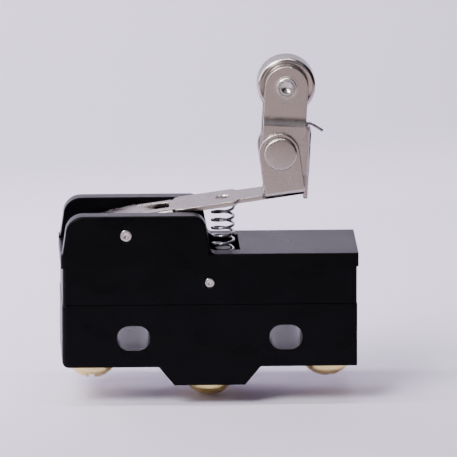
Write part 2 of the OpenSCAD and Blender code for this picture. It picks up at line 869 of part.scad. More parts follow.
module roller_arm() {
    color(nickel) arm_frame() difference() {
        union() {
            for (s = [-1, 1]) {
                slab_y(min(s * arm_low_w / 2, s * (arm_low_w / 2 - arm_t)),
                    max(s * arm_low_w / 2, s * (arm_low_w / 2 - arm_t))) arm_low_outline();
                slab_y(min(s * arm_high_w / 2, s * (arm_high_w / 2 - arm_t)),
                    max(s * arm_high_w / 2, s * (arm_high_w / 2 - arm_t))) arm_high_outline();
                arm_joggle(s);
            }
            block([web_a - arm_t, -arm_low_w / 2, arm_bottom_b], [web_a, arm_low_w / 2, web_top_b]);
            block([web_a - arm_t, -stop_tongue_w / 2, stop_tongue_b],
                [web_a, stop_tongue_w / 2, arm_bottom_b + eps]);
        }
        bar_y(0, 0, pivot_d + 2 * run_gap, -arm_low_w, arm_low_w);
        bar_y(roller_a, roller_rise, axle_d + 2 * press_gap, -arm_low_w, arm_low_w);
    }
}

module roller_axle() {
    half_w = arm_high_w / 2;
    flare_y = half_w + axle_flare_h / 2;
    color(silver_grey) arm_frame() {
        dimpled_pin(roller_a, roller_rise, axle_d, -half_w - axle_flare_h, half_w + axle_flare_h);
        for (s = [-1, 1]) difference() {
            bar_y(roller_a, roller_rise, axle_d + axle_flare,
                s * flare_y - axle_flare_h / 2, s * flare_y + axle_flare_h / 2);
            bar_y(roller_a, roller_rise, axle_d - axle_flare / 2, -arm_low_w, arm_low_w);
        }
    }
}

module roller() {
    r = roller_d / 2;
    h = roller_w / 2;
    bore_r = axle_d / 2 + run_gap;
    color(nickel) arm_frame() translate([roller_a, 0, roller_rise]) rotate([90, 0, 0]) rotate_extrude($fn = 96)
        polygon([
            [bore_r, -h], [r - roller_chamfer, -h], [r, -h + roller_chamfer],
            [r, h - roller_chamfer], [r - roller_chamfer, h], [bore_r, h]
        ]);
}

case_base();
cover();
hinge_pin();
cover_rivets();
com_terminal();
no_terminal();
nc_terminal();
com_screw();
no_screw();
nc_screw();
com_washer();
no_washer();
nc_washer();
tongue_anchor();
blade_rivets();
snap_blade();
moving_contact();
nc_contact();
no_contact();
plunger();
return_spring();
lever();
arm_rivet();
torsion_spring();
roller_arm();
roller_axle();
roller();
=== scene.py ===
"""Builds the looks of a snap-action limit switch with a one-way roller lever round its CAD frame."""

import math

import bmesh
import bpy
from bpy.props import FloatProperty, FloatVectorProperty, IntProperty, PointerProperty
from mathutils import Matrix, Vector


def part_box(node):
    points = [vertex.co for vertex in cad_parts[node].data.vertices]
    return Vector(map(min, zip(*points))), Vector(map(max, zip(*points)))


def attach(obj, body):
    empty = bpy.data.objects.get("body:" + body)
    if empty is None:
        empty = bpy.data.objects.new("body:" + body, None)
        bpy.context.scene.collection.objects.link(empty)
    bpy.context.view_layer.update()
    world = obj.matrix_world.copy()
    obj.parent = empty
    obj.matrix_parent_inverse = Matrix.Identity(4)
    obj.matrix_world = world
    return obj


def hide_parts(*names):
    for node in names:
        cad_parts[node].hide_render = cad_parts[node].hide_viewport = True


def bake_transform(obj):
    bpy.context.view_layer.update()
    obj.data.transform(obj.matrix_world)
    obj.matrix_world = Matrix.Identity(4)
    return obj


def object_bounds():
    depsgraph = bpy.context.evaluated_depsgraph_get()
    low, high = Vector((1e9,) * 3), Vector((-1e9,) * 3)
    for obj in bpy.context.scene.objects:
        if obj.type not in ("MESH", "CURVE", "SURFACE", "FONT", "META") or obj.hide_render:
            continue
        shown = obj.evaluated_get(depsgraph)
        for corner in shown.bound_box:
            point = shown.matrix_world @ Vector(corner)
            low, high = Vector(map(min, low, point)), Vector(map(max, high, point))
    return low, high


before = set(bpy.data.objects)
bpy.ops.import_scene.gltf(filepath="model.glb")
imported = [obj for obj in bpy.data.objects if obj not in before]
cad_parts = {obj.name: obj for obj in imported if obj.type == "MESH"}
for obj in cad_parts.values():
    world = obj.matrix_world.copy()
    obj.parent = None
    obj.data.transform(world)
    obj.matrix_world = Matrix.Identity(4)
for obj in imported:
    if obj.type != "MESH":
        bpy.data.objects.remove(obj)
CAD_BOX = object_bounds()

bl_info = {
    "name": "Limit Switch",
    "version": (1, 0, 0),
    "blender": (4, 5, 0),
    "location": "View3D > Sidebar > Limit Switch",
    "description": "Builds a limit switch piece by piece",
    "category": "Add Mesh",
}

MM = 0.001
SIDES = (-1, 1)


# Sizes and colours that a user would change. Lengths are in millimetres unless they have a unit.


def size(name, description, default, low=0.0, high=100.0):
    """A length in millimetres."""
    return FloatProperty(name=name, description=description, default=default, min=low, max=high)


def tint(name, description, default):
    """A colour of a finish."""
    return FloatVectorProperty(
        name=name, description=description, default=default, size=3, min=0, max=1, subtype="COLOR"
    )


class LIMITSWITCH_PG_case(bpy.types.PropertyGroup):
    """The moulded case and its cover."""

    parting_z: size("Parting line", "Height of the line between base and cover", 5.7)
    band_z: size("Step", "Height of the step round the cover", 12.1)
    top_z: size("Top", "Height of the flat top", 14.3)
    channel_z: size("Channel floor", "Height of the floor between the ears", 14.0)
    pocket_z: size("Pocket floor", "Height of the floor under the return spring", 10.9)
    ear_gap: size("Ear gap", "Clear width between the ears", 11.2)
    pocket_w: size("Pocket width", "Width of the pocket under the return spring", 10.9)
    edge: size("Edge radius", "Radius of the small moulded edges", 0.16)
    ear_edge: size("Ear edge radius", "Radius of the ears' outer edges", 0.42)
    ear_fillet: size("Ear fillet", "Radius where the ears meet the top", 0.8)


class LIMITSWITCH_PG_sheet(bpy.types.PropertyGroup):
    """The pressed lever and the roller arm."""

    lever_slope: FloatProperty(
        name="Lever slope", description="Slope of the lever at rest",
        default=math.radians(8), subtype="ANGLE",
    )
    arm_lean: FloatProperty(
        name="Arm lean", description="Lean of the roller arm at rest",
        default=math.radians(3), subtype="ANGLE",
    )
    lever_t: size("Lever sheet", "Thickness of the lever's sheet", 0.8)
    arm_t: size("Arm sheet", "Thickness of the arm's sheet", 0.75)
    edge: size("Pressed edge", "Radius of the pressed edges", 0.17)
    bend_steps: IntProperty(name="Bend steps", description="Facets in a bend", default=6, min=2)


class LIMITSWITCH_PG_round(bpy.types.PropertyGroup):
    """Pins, springs and the roller."""

    wire_d: size("Return wire", "Diameter of the return spring's wire", 0.48)
    torsion_wire_d: size("Torsion wire", "Diameter of the torsion spring's wire", 0.5)
    turns: IntProperty(name="Turns", description="Turns of each spring", default=6, min=2)
    roller_edge: size("Roller edge", "Radius of the roller's edges", 0.6)
    facets: IntProperty(name="Facets", description="Facets round a turned piece", default=72, min=12)


class LIMITSWITCH_PG_finish(bpy.types.PropertyGroup):
    """Colours of the finishes."""

    phenolic: tint("Phenolic", "Moulded case", (0.0018, 0.0018, 0.0024))
    nickel: tint("Nickel", "Plated sheet", (0.51, 0.462, 0.445))
    steel: tint("Steel", "Pins and axle", (0.58, 0.54, 0.52))
    wire: tint("Wire", "Spring wire", (0.36, 0.36, 0.375))
    brass: tint("Brass", "Terminals", (0.72, 0.56, 0.28))
    yellow: tint("Yellow passivate", "Screws and washers", (0.82, 0.66, 0.30))
    copper: tint("Copper", "Contact blade", (0.72, 0.40, 0.26))
    silver: tint("Silver", "Contacts", (0.83, 0.82, 0.80))
    plunger: tint("Plunger", "Moulded plunger", (0.02, 0.006, 0.005))


class LIMITSWITCH_PG_stage(bpy.types.PropertyGroup):
    """Floor, backdrop, lamps and camera."""

    azimuth: FloatProperty(
        name="Azimuth", description="Direction of the camera round the switch",
        default=math.radians(-2.2), subtype="ANGLE",
    )
    elevation: FloatProperty(
        name="Elevation", description="Height of the camera above the horizon",
        default=math.radians(13.3), subtype="ANGLE",
    )
    distance: FloatProperty(
        name="Distance", description="Distance of the camera", default=1.79, unit="LENGTH"
    )
    lens: FloatProperty(name="Lens", description="Focal length in millimetres", default=843.0)
    aim_right: size("Aim right", "How far the view's centre is to the right of the origin", 3.44)
    aim_up: size("Aim up", "How far the view's centre is above the origin", 16.2)
    floor: tint("Floor", "Colour of the floor and backdrop", (0.80, 0.74, 0.88))
    table: tint("Table", "Colour of the table in front of the floor", (0.52, 0.43, 0.42))


GROUPS = {
    "case": LIMITSWITCH_PG_case,
    "sheet": LIMITSWITCH_PG_sheet,
    "round": LIMITSWITCH_PG_round,
    "finish": LIMITSWITCH_PG_finish,
    "stage": LIMITSWITCH_PG_stage,
}


def settings(group):
    """The values of one property group."""
    return getattr(bpy.context.scene, "limit_switch_" + group)


# Places from the frame, in millimetres


def low(node):
    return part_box(node)[0] / MM


def high(node):
    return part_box(node)[1] / MM


def middle(node):
    return (low(node) + high(node)) / 2


def lever_frame():
    """Matrix of the lever at rest: x along it and z away from the case, from the hinge pin."""
    place = middle("hinge_pin")
    turn = Matrix.Rotation(-settings("sheet").lever_slope, 4, "Y")
    return Matrix.Translation((place.x, 0, place.z)) @ turn


def arm_frame():
    """Matrix of the roller arm at rest: x to the right and z up, from its pivot."""
    place = middle("arm_rivet")
    turn = Matrix.Rotation(settings("sheet").arm_lean, 4, "Y")
    return Matrix.Translation((place.x, 0, place.z)) @ turn


# Mesh tools, in millimetres


def arc(centre, radius, start, end, steps=8):
    """Points on an arc between two angles in degrees."""
    turns = [math.radians(start + (end - start) * i / steps) for i in range(steps + 1)]
    return [(centre[0] + radius * math.cos(a), centre[1] + radius * math.sin(a)) for a in turns]


def ring_angles(count):
    """Angles of the corners of a closed ring."""
    return [2 * math.pi * i / count for i in range(count)]


def mirrored(half):
    """Half an outline or profile together with its other half, across the first axis."""
    return half + [(along, -across) for along, across in reversed(half)]


def block_outline(x0, x1, z0, z1):
    return [(x0, z0), (x1, z0), (x1, z1), (x0, z1)]


def upright(x, z=0.0):
    """Matrix that stands a piece made along Y up along Z, at a place on the middle plane."""
    return Matrix.Translation((x, 0, z)) @ Matrix.Rotation(math.pi / 2, 4, "X")


def skin(bm, rings):
    """Faces between closed rings of corners, from each ring to the next."""
    for first, second in zip(rings, rings[1:]):
        for i in range(len(first)):
            j = (i + 1) % len(first)
            bm.faces.new((first[i], first[j], second[j], second[i]))


def close_ends(bm, rings):
    """Faces over the first and the last ring."""
    bm.faces.new(rings[0])
    bm.faces.new(rings[-1])


def object_from(bm, name="work"):
    """An object that holds a bmesh, still in millimetres."""
    bmesh.ops.recalc_face_normals(bm, faces=bm.faces)
    mesh = bpy.data.meshes.new(name)
    bm.to_mesh(mesh)
    bm.free()
    obj = bpy.data.objects.new(name, mesh)
    bpy.context.scene.collection.objects.link(obj)
    return obj


def prism(outline, start, end, axis="Y"):
    """A solid with an outline, from start to end along an axis."""
    places = {
        "X": lambda p, d: (d, p[0], p[1]),
        "Y": lambda p, d: (p[0], d, p[1]),
        "Z": lambda p, d: (p[0], p[1], d),
    }
    bm = bmesh.new()
    rings = [[bm.verts.new(places[axis](p, d)) for p in outline] for d in (start, end)]
    close_ends(bm, rings)
    skin(bm, rings)
    return object_from(bm)


def box(low_corner, high_corner):
    """A plain block to cut or join with."""
    (x0, y0, z0), (x1, y1, z1) = low_corner, high_corner
    return prism(block_outline(x0, x1, z0, z1), y0, y1)


def discard(obj):
    mesh = obj.data
    bpy.data.objects.remove(obj)
    bpy.data.meshes.remove(mesh)


def settle(obj):
    """Applies an object's modifiers."""
    bpy.context.view_layer.update()
    old = obj.data
    obj.data = bpy.data.meshes.new_from_object(obj.evaluated_get(bpy.context.evaluated_depsgraph_get()))
    obj.modifiers.clear()
    bpy.data.meshes.remove(old)
    return obj


def combine(obj, others, operation="DIFFERENCE"):
    """Cuts other solids out of an object, or joins them to it."""
    for other in others:
        modifier = obj.modifiers.new("combine", "BOOLEAN")
        modifier.operation = operation
        modifier.solver = "EXACT"
        modifier.object = other
        settle(obj)
        discard(other)
    return obj


def round_edges(obj, radius_of, steps=3, sharpest=25):
    """Rounds every edge sharper than an angle by the radius that radius_of gives for its two ends."""
    bm = bmesh.new()
    bm.from_mesh(obj.data)
    bmesh.ops.dissolve_limit(
        bm, angle_limit=math.radians(0.3), verts=bm.verts, edges=bm.edges, delimit={"NORMAL"}
    )
    weight = bm.edges.layers.float.get("bevel_weight_edge") or bm.edges.layers.float.new("bevel_weight_edge")
    radii = {}
    for edge in bm.edges:
        sharp = len(edge.link_faces) == 2 and edge.calc_face_angle(0) > math.radians(sharpest)
        radii[edge] = radius_of(*(v.co for v in edge.verts)) if sharp else 0
    widest = max(radii.values())
    for edge, radius in radii.items():
        edge[weight] = radius / widest
    bm.to_mesh(obj.data)
    bm.free()
    modifier = obj.modifiers.new("round", "BEVEL")
    modifier.limit_method = "WEIGHT"
    modifier.width = widest
    modifier.segments = steps
    modifier.use_clamp_overlap = False
    modifier.loop_slide = True
    return settle(obj)


def lathe(profile, place, facets=None):
    """A turned solid along Y from (radius, y) points that start and end on the axis."""
    facets = facets or settings("round").facets
    bm = bmesh.new()
    rings = []
    for radius, y in profile:
        if radius < 1e-6:
            rings.append([bm.verts.new((place[0], y, place[1]))])
            continue
        rings.append([
            bm.verts.new((place[0] + radius * math.cos(a), y, place[1] + radius * math.sin(a)))
            for a in ring_angles(facets)
        ])
    for first, second in zip(rings, rings[1:]):
        for i in range(facets):
            j = (i + 1) % facets
            corners = (
                first[i % len(first)], first[j % len(first)],
                second[j % len(second)], second[i % len(second)],
            )
            unique = list(dict.fromkeys(corners))
            if len(unique) > 2:
                bm.faces.new(unique)
    return object_from(bm)


def rod(r, start, end):
    """Profile of a plain round bar."""
    return [(0, start), (r, start), (r, end), (0, end)]


# Rounding of a wire's end: how far past the end and how wide, in radii
WIRE_END = [(0.2, 0.85), (0.28, 0.55)]


def tube(path, diameter, sides=12):
    """Round wire along a list of points, with rounded ends."""
    points = [Vector(p) for p in path]
    last = len(points) - 1
    bm = bmesh.new()
    rings = []
    across = None
    for i, point in enumerate(points):
        ahead = (points[min(i + 1, last)] - points[max(i - 1, 0)]).normalized()
        across = across or ahead.orthogonal()
        across = (across - across.dot(ahead) * ahead).normalized()
        other = ahead.cross(across)
        steps = [(0, 1)]
        if i == 0:
            steps = [(-shift, scale) for shift, scale in reversed(WIRE_END)] + steps
        elif i == last:
            steps += WIRE_END
        for shift, scale in steps:
            centre = point + ahead * shift * diameter / 2
            rings.append([
                bm.verts.new(centre + (across * math.cos(a) + other * math.sin(a)) * scale * diameter / 2)
                for a in ring_angles(sides)
            ])
    skin(bm, rings)
    close_ends(bm, rings)
    return object_from(bm)


def bent(distance, start, heading, bends=()):
    """Point at a distance along a line that turns; a bend is (where it starts, angle, radius)."""
    x, y = start
    at = 0.0
    for where, angle, radius in bends:
        if distance <= where:
            break
        x += (where - at) * math.cos(heading)
        y += (where - at) * math.sin(heading)
        inside = min(distance - where, abs(angle) * radius)
        side = math.copysign(radius, angle)
        after = heading + inside / side
        x += side * (math.sin(after) - math.sin(heading))
        y -= side * (math.cos(after) - math.cos(heading))
        heading = after
        at = where + inside
    return x + (distance - at) * math.cos(heading), y + (distance - at) * math.sin(heading)


def bend_cuts(direction, length, count):
    """Cuts that divide a bend which starts at zero."""
    return [(direction, length * i / count) for i in range(1, count + 1)]


def round_hole(flat, centre, radius):
    """A hole of 36 corners, brought on to the flat sheet."""
    return [flat(*p) for p in arc(centre, radius, 0, 350, 35)]


def flat_patch(outline, holes, cuts, fold):
    """A flat piece of sheet as a bmesh: filled, cut along lines and folded. A cut is (0 or 1, value)."""
    bm = bmesh.new()
    for loop in (outline, *holes):
        verts = [bm.verts.new((*p, 0)) for p in loop]
        for first, second in zip(verts, verts[1:] + verts[:1]):
            bm.edges.new((first, second))
    bmesh.ops.triangle_fill(bm, use_beauty=True, use_dissolve=False, edges=bm.edges[:], normal=(0, 0, 1))
    for direction, value in cuts:
        place = [0, 0, 0]
        place[direction] = value
        normal = [0, 0, 0]
        normal[direction] = 1
        bmesh.ops.bisect_plane(
            bm, geom=bm.verts[:] + bm.edges[:] + bm.faces[:], dist=1e-4, plane_co=place, plane_no=normal
        )
    for vert in bm.verts:
        vert.co = fold(vert.co.x, vert.co.y)
    return bm


def sheet_metal(patches, thickness, matrix):
    """Joins folded patches and gives them their thickness and their pressed edges."""
    whole = bmesh.new()
    for patch in patches:
        mesh = bpy.data.meshes.new("patch")
        patch.to_mesh(mesh)
        patch.free()
        whole.from_mesh(mesh)
        bpy.data.meshes.remove(mesh)
    bmesh.ops.remove_doubles(whole, verts=whole.verts, dist=0.004)
    bmesh.ops.recalc_face_normals(whole, faces=whole.faces)
    bmesh.ops.dissolve_limit(whole, angle_limit=math.radians(0.6), verts=whole.verts, edges=whole.edges)
    whole.transform(matrix)
    obj = object_from(whole)
    solidify = obj.modifiers.new("thickness", "SOLIDIFY")
    solidify.thickness = thickness
    solidify.offset = 0
    solidify.use_even_offset = True
    settle(obj)
    return round_edges(obj, lambda a, b: settings("sheet").edge, 3, 40)


def finish_piece(obj, name, body, nodes, slot, smooth=32, weighted=True):
    """Names a piece, scales it to metres, shades it, gives it the finish of its slot, hangs it on its body when
    the body is a single name or else bakes its place, and hides its frame nodes.
    """
    obj.name = name
    mesh = obj.data
    mesh.name = name
    mesh.transform(Matrix.Scale(MM, 4))
    mesh.polygons.foreach_set("use_smooth", [True] * len(mesh.polygons))
    mesh.set_sharp_from_angle(angle=math.radians(smooth))
    if weighted:
        modifier = obj.modifiers.new("weighted normals", "WEIGHTED_NORMAL")
        modifier.keep_sharp = True
        modifier.weight = 60
        settle(obj)
    obj.data.materials.clear()
    obj.data.materials.append(finish_of(slot))
    if isinstance(body, str):
        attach(obj, body)
    else:
        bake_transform(obj)
    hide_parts(*nodes)
    return obj


# Finishes


class Finish:
    """A node material on object coordinates, built up step by step."""

    def __init__(self, name):
        self.material = bpy.data.materials.new(name)
        self.material.use_nodes = True
        self.tree = self.material.node_tree
        self.shader = self.tree.nodes["Principled BSDF"]
        self.coordinates = self.add("ShaderNodeTexCoord").outputs["Object"]

    def add(self, kind, **values):
        node = self.tree.nodes.new(kind)
        for key, value in values.items():
            setattr(node, key, value)
        return node

    def plain(self, **sockets):
        """Sets sockets of the shader; underscores stand for spaces."""
        for key, value in sockets.items():
            self.shader.inputs[key.replace("_", " ")].default_value = value

    def noise(self, scale, stretch=(1, 1, 1), detail=4, rough=0.55):
        """Noise with a feature size of about one over scale, in metres."""
        mapping = self.add("ShaderNodeMapping")
        mapping.inputs["Scale"].default_value = stretch
        self.tree.links.new(self.coordinates, mapping.inputs["Vector"])
        noise = self.add("ShaderNodeTexNoise")
        noise.inputs["Scale"].default_value = scale
        noise.inputs["Detail"].default_value = detail
        noise.inputs["Roughness"].default_value = rough
        self.tree.links.new(mapping.outputs["Vector"], noise.inputs["Vector"])
        return noise.outputs["Fac"]

    def colour(self, source, dark, light):
        """Mixes two colours by a pattern and makes them the base colour."""
        ramp = self.add("ShaderNodeValToRGB")
        for stop, position, tone in zip(ramp.color_ramp.elements, (0.32, 0.68), (dark, light)):
            stop.position = position
            stop.color = (*tone, 1)
        self.tree.links.new(source, ramp.inputs["Fac"])
        self.tree.links.new(ramp.outputs["Color"], self.shader.inputs["Base Color"])

    def roughness(self, source, smoothest, roughest):
        """Varies the roughness between two values by a pattern."""
        node = self.add("ShaderNodeMapRange")
        limits = {"From Min": 0.3, "From Max": 0.7, "To Min": smoothest, "To Max": roughest}
        for key, value in limits.items():
            node.inputs[key].default_value = value
        self.tree.links.new(source, node.inputs["Value"])
        self.tree.links.new(node.outputs["Result"], self.shader.inputs["Roughness"])

    def bump(self, source, depth, strength=0.5):
        """Raises the surface by a pattern, depth in metres."""
        node = self.add("ShaderNodeBump")
        node.inputs["Strength"].default_value = strength
        node.inputs["Distance"].default_value = depth
        self.tree.links.new(source, node.inputs["Height"])
        self.tree.links.new(node.outputs["Normal"], self.shader.inputs["Normal"])


def scaled(colour, factor):
    return tuple(min(1, c * factor) for c in colour)


def moulded(name, colour, gloss_level, smoothest, roughest):
    """Moulded plastic with a fine spark-eroded grain and faint flow marks."""
    made = Finish(name)
    grain = made.noise(2600, detail=5)
    flow = made.noise(140, (1, 1, 1.6), 1)
    made.plain(Metallic=0.0, Specular_IOR_Level=gloss_level)
    made.colour(flow, scaled(colour, 0.8), scaled(colour, 1.25))
    made.roughness(flow, smoothest, roughest)
    made.bump(grain, 0.000012)
    return made.material


def plated(name, colour, smoothest, roughest, stretch=(1, 6, 6), depth=0.000004, edge=1.0):
    """Plated metal with drawing lines, soft stains in its gloss and a slight change of tone."""
    made = Finish(name)
    lines = made.noise(3600, stretch, 2)
    stains = made.noise(420, detail=3, rough=0.5)
    speckle = made.noise(5200, detail=2, rough=0.7)
    made.plain(Metallic=1.0, Specular_Tint=(edge, edge, edge, 1))
    made.colour(speckle, scaled(colour, 0.86), scaled(colour, 1.12))
    made.roughness(stains, smoothest, roughest)
    made.bump(lines, depth)
    return made.material


def make_finishes():
    """Every finish of the switch, by its slot."""
    tone = settings("finish")
    return {
        "phenolic": moulded("phenolic", tone.phenolic, 0.055, 0.27, 0.31),
        "nickel_sheet": plated("nickel_sheet", tone.nickel, 0.2, 0.3, edge=0.5),
        "roller_steel": plated("roller_steel", tone.nickel, 0.13, 0.2, (6, 1, 6), edge=0.5),
        "pin_steel": plated("pin_steel", tone.steel, 0.22, 0.34, (1, 1, 1)),
        "spring_wire": plated("spring_wire", tone.wire, 0.2, 0.32, (1, 1, 1), 0.000003),
        "terminal_brass": plated("terminal_brass", tone.brass, 0.3, 0.42, (6, 1, 6)),
        "screw_brass": plated("screw_brass", tone.yellow, 0.16, 0.3, (2, 2, 1), 0.00002),
        "spring_copper": plated("spring_copper", tone.copper, 0.28, 0.38),
        "contact_silver": plated("contact_silver", tone.silver, 0.25, 0.4, (1, 1, 1)),
        "plunger_plastic": moulded("plunger_plastic", tone.plunger, 0.5, 0.35, 0.5),
    }


FINISHES = {}


def finish_of(slot):
    """The material of a slot, made once."""
    if not FINISHES:
        FINISHES.update(make_finishes())
    return FINISHES[slot]


# Pieces


class Maker:
    """What every operator of the switch shares."""

    bl_options = {"REGISTER", "UNDO"}

    def execute(self, context):
        self.make()
        return {"FINISHED"}


class LIMITSWITCH_OT_case_base(Maker, bpy.types.Operator):
    """Lower half of the case, with two mounting slots, a middle bump and the terminal recesses"""

    bl_idname = "limit_switch.case_base"
    bl_label = "Case base"

    chamber_floor_z = 3.6
    bump_x = (5.9, 8.5)
    slot_w = 4.2
    slot_l = 5.6
    slot_pitch = 25.4
    left_corner_r = 1.0
    right_corner_r = 0.4
    wall = 2.4
    hole_d = 4.3
    hole_depth = 6.6
    riser = (2.05, 3.55, 4.45)
    foot_z = -5.0
    recess_half, recess_h, recess_lip = 4.25, 0.87, 0.15

    def outer(self, corner_low, corner_high, parting_z):
        """The outside, with its edges rounded."""
        case = settings("case")
        foot_z = self.foot_z
        near, far = self.bump_x
        outline = [
            (corner_low.x, parting_z), (corner_high.x, parting_z), (corner_high.x, foot_z),
            (far, foot_z), (near, corner_low.z), (-near, corner_low.z), (-far, foot_z),
            (corner_low.x, foot_z),
        ]
        solid = prism(outline, corner_low.y, corner_high.y)

        def radius(a, b):
            rising = abs(a.x - b.x) < 0.01 and abs(a.y - b.y) < 0.01
            left = abs(a.x - corner_low.x) < 0.01 and abs(b.x - corner_low.x) < 0.01
            right = abs(a.x - corner_high.x) < 0.01 and abs(b.x - corner_high.x) < 0.01
            foot = left and abs(a.z - foot_z) < 0.01 and abs(b.z - foot_z) < 0.01
            if (rising and left) or foot and abs(a.y - b.y) > 1:
                return self.left_corner_r
            if rising and right:
                return self.right_corner_r
            return case.edge

        return round_edges(solid, radius, 5)

    def slot_cutter(self, x, depth):
        """A mounting slot whose mouths are slightly rounded."""
        case = settings("case")
        half = (self.slot_l - self.slot_w) / 2
        r = self.slot_w / 2

        def stadium(grow):
            return (
                arc((x + half, 0), r + grow, -90, 90, 16) + arc((x - half, 0), r + grow, 90, 270, 16)
            )

        bm = bmesh.new()
        mouth = case.edge * 0.4
        layers = [
            (-depth - 1, mouth), (-depth, mouth), (-depth + mouth * 0.35, mouth * 0.35),
            (-depth + mouth, 0), (depth - mouth, 0), (depth - mouth * 0.35, mouth * 0.35),
            (depth, mouth), (depth + 1, mouth),
        ]
        rings = [[bm.verts.new((p[0], y, p[1])) for p in stadium(grow)] for y, grow in layers]
        skin(bm, rings)
        close_ends(bm, rings)
        return object_from(bm)

    def make(self):
        case = settings("case")
        corner_low, corner_high = low("case_base"), high("case_base")
        solid = self.outer(corner_low, corner_high, case.parting_z)
        half_t = corner_high.y
        inner_x = corner_high.x - self.wall
        inner_y = half_t - self.wall
        cutters = [self.slot_cutter(s * self.slot_pitch / 2, half_t) for s in SIDES]
        cutters.append(box(
            (-inner_x, -inner_y, self.chamber_floor_z), (inner_x, inner_y, case.parting_z + 1)
        ))
        for name in ("com", "no", "nc"):
            x = middle(name + "_screw").x
            face_z = low(name + "_terminal").z + self.recess_lip
            half = self.recess_half
            cutters.append(box((x - half, -half, face_z - 1), (x + half, half, face_z + self.recess_h)))
            hole = lathe(rod(self.hole_d / 2, face_z - 0.5, face_z + self.hole_depth), (0, 0), 32)
            hole.data.transform(upright(x))
            cutters.append(hole)
            half, near, far = self.riser
            cutters.append(box(
                (x - half, near, face_z - 0.5), (x + half, far, self.chamber_floor_z + 0.5)
            ))
        combine(solid, cutters)
        finish_piece(solid, "moulded_base", "case", ["case_base"], "phenolic")


class LIMITSWITCH_OT_cover(Maker, bpy.types.Operator):
    """Upper half of the case, with the two ears that carry the lever and the pocket for its spring"""

    bl_idname = "limit_switch.cover"
    bl_label = "Cover"

    inset = 0.1
    ear_right_x = 0.2
    ear_tops = (-24.0, -0.6)
    ear_radii = (3.0, 2.2)
    pocket_x = (-4.2, 5.15)
    channel_end_x = 1.2
    wall = 1.4
    ceiling_z = 12.7
    pocket_wall = 0.85
    guide_z = (9.7, 11.4)
    guide_d = 6.0
    guide_hole_d = 3.7
    rivet_place = (0.0, 9.39)
    step_in = 0.3
    play = 0.02

    def upper(self, corner_low, corner_high):
        """The part above the step, with the ears, channel and pocket."""
        case = settings("case")
        ear_z = corner_high.z
        half_t = corner_high.y - self.inset / 2
        left_r, right_r = self.ear_radii
        left_x, right_x = self.ear_tops
        base_z = case.band_z - self.inset
        body_x = corner_low.x + self.step_in
        fillet = case.ear_fillet
        outline = [(corner_low.x, base_z), (corner_low.x, case.top_z), (body_x, case.top_z)]
        outline += arc((left_x + left_r, ear_z - left_r), left_r, 180, 90, 12)
        outline += arc((right_x - right_r, ear_z - right_r), right_r, 90, 5, 10)
        outline += arc((self.ear_right_x + fillet - 0.07, case.top_z + fillet), fillet, 184, 270, 6)
        outline += [(corner_high.x, case.top_z), (corner_high.x, base_z)]
        solid = prism(outline, -half_t, half_t)
        gap = case.ear_gap / 2
        pocket = case.pocket_w / 2
        combine(solid, [
            box((corner_low.x - 1, -gap, case.channel_z), (self.channel_end_x, gap, ear_z + 1)),
            box((self.pocket_x[0], -pocket, base_z - 1), (self.pocket_x[1], pocket, ear_z)),
        ])

        def radius(a, b):
            mid = (a + b) / 2
            outside = abs(abs(a.y) - half_t) < 0.02 and abs(abs(b.y) - half_t) < 0.02
            rising = abs(a.x - b.x) < 0.02 and abs(a.y - b.y) < 0.02
            if mid.z < base_z + 0.05:
                return 0.05
            if rising and outside and mid.z < case.top_z + 0.1:
                return 0.8 if mid.x < 0 else 0.35
            if outside and mid.z > case.top_z + 0.05:
                return case.ear_edge
            if abs(abs(mid.y) - gap) < 0.02 and abs(a.y - b.y) < 0.02 and mid.z > case.channel_z + 0.35:
                return case.edge * 1.2
            if mid.z < case.channel_z + 0.02 and abs(abs(mid.y) - gap) < 0.02:
                return 0.0
            return case.edge

        return round_edges(solid, radius, 4, 20)

    def make(self):
        case = settings("case")
        corner_low, corner_high = low("cover"), high("cover")
        upper = self.upper(corner_low, corner_high)
        half_x = corner_high.x - self.step_in
        half_t = corner_high.y
        lower = prism(block_outline(-half_x, half_x, case.parting_z, case.band_z), -half_t, half_t)

        def radius(a, b):
            if abs(a.z - b.z) > 1:
                return 0.9 if a.x < 0 else 0.35
            return case.edge if a.z < case.parting_z + 0.1 else 0.04

        round_edges(lower, radius, 4)
        combine(upper, [lower], "UNION")
        pocket = case.pocket_w / 2
        x0, x1 = self.pocket_x
        thick = self.pocket_wall
        chamber = box(
            (-half_x + self.wall, -half_t + self.wall, case.parting_z - 1),
            (half_x - self.wall, half_t - self.wall, self.ceiling_z),
        )
        combine(chamber, [box(
            (x0 - thick, -pocket - thick, self.guide_z[0]), (x1 + thick, pocket + thick, self.ceiling_z + 1)
        )])
        combine(upper, [chamber, box((x0, -pocket, case.pocket_z), (x1, pocket, case.band_z + 0.3))])
        guide_place = upright(middle("plunger").x)
        boss = lathe(rod(self.guide_d / 2, case.pocket_z - 0.2, self.guide_z[1]), (0, 0), 48)
        boss.data.transform(guide_place)
        combine(upper, [boss], "UNION")
        hole = lathe(rod(self.guide_hole_d / 2, self.guide_z[0] - 1, self.guide_z[1] + 1), (0, 0), 48)
        hole.data.transform(guide_place)
        pin = middle("hinge_pin")
        pin_r = (high("hinge_pin").z - low("hinge_pin").z) / 2
        rivet_r = (high("cover_rivets").z - low("cover_rivets").z) / 2
        combine(upper, [
            hole,
            lathe(self.flared(pin_r + self.play, half_t), (pin.x, pin.z), 48),
            lathe(self.flared(rivet_r + self.play, half_t), self.rivet_place, 40),
        ])
        finish_piece(upper, "moulded_cover", "case", ["cover"], "phenolic")

    def flared(self, r, half):
        """A bore through the case whose mouths open slightly."""
        return [
            (0, -half - 1), (r + 0.14, -half - 1), (r + 0.14, -half + 0.02), (r + 0.04, -half + 0.12),
            (r, -half + 0.25), (r, half - 0.25), (r + 0.04, half - 0.12), (r + 0.14, half - 0.02),
            (r + 0.14, half + 1), (0, half + 1),
        ]


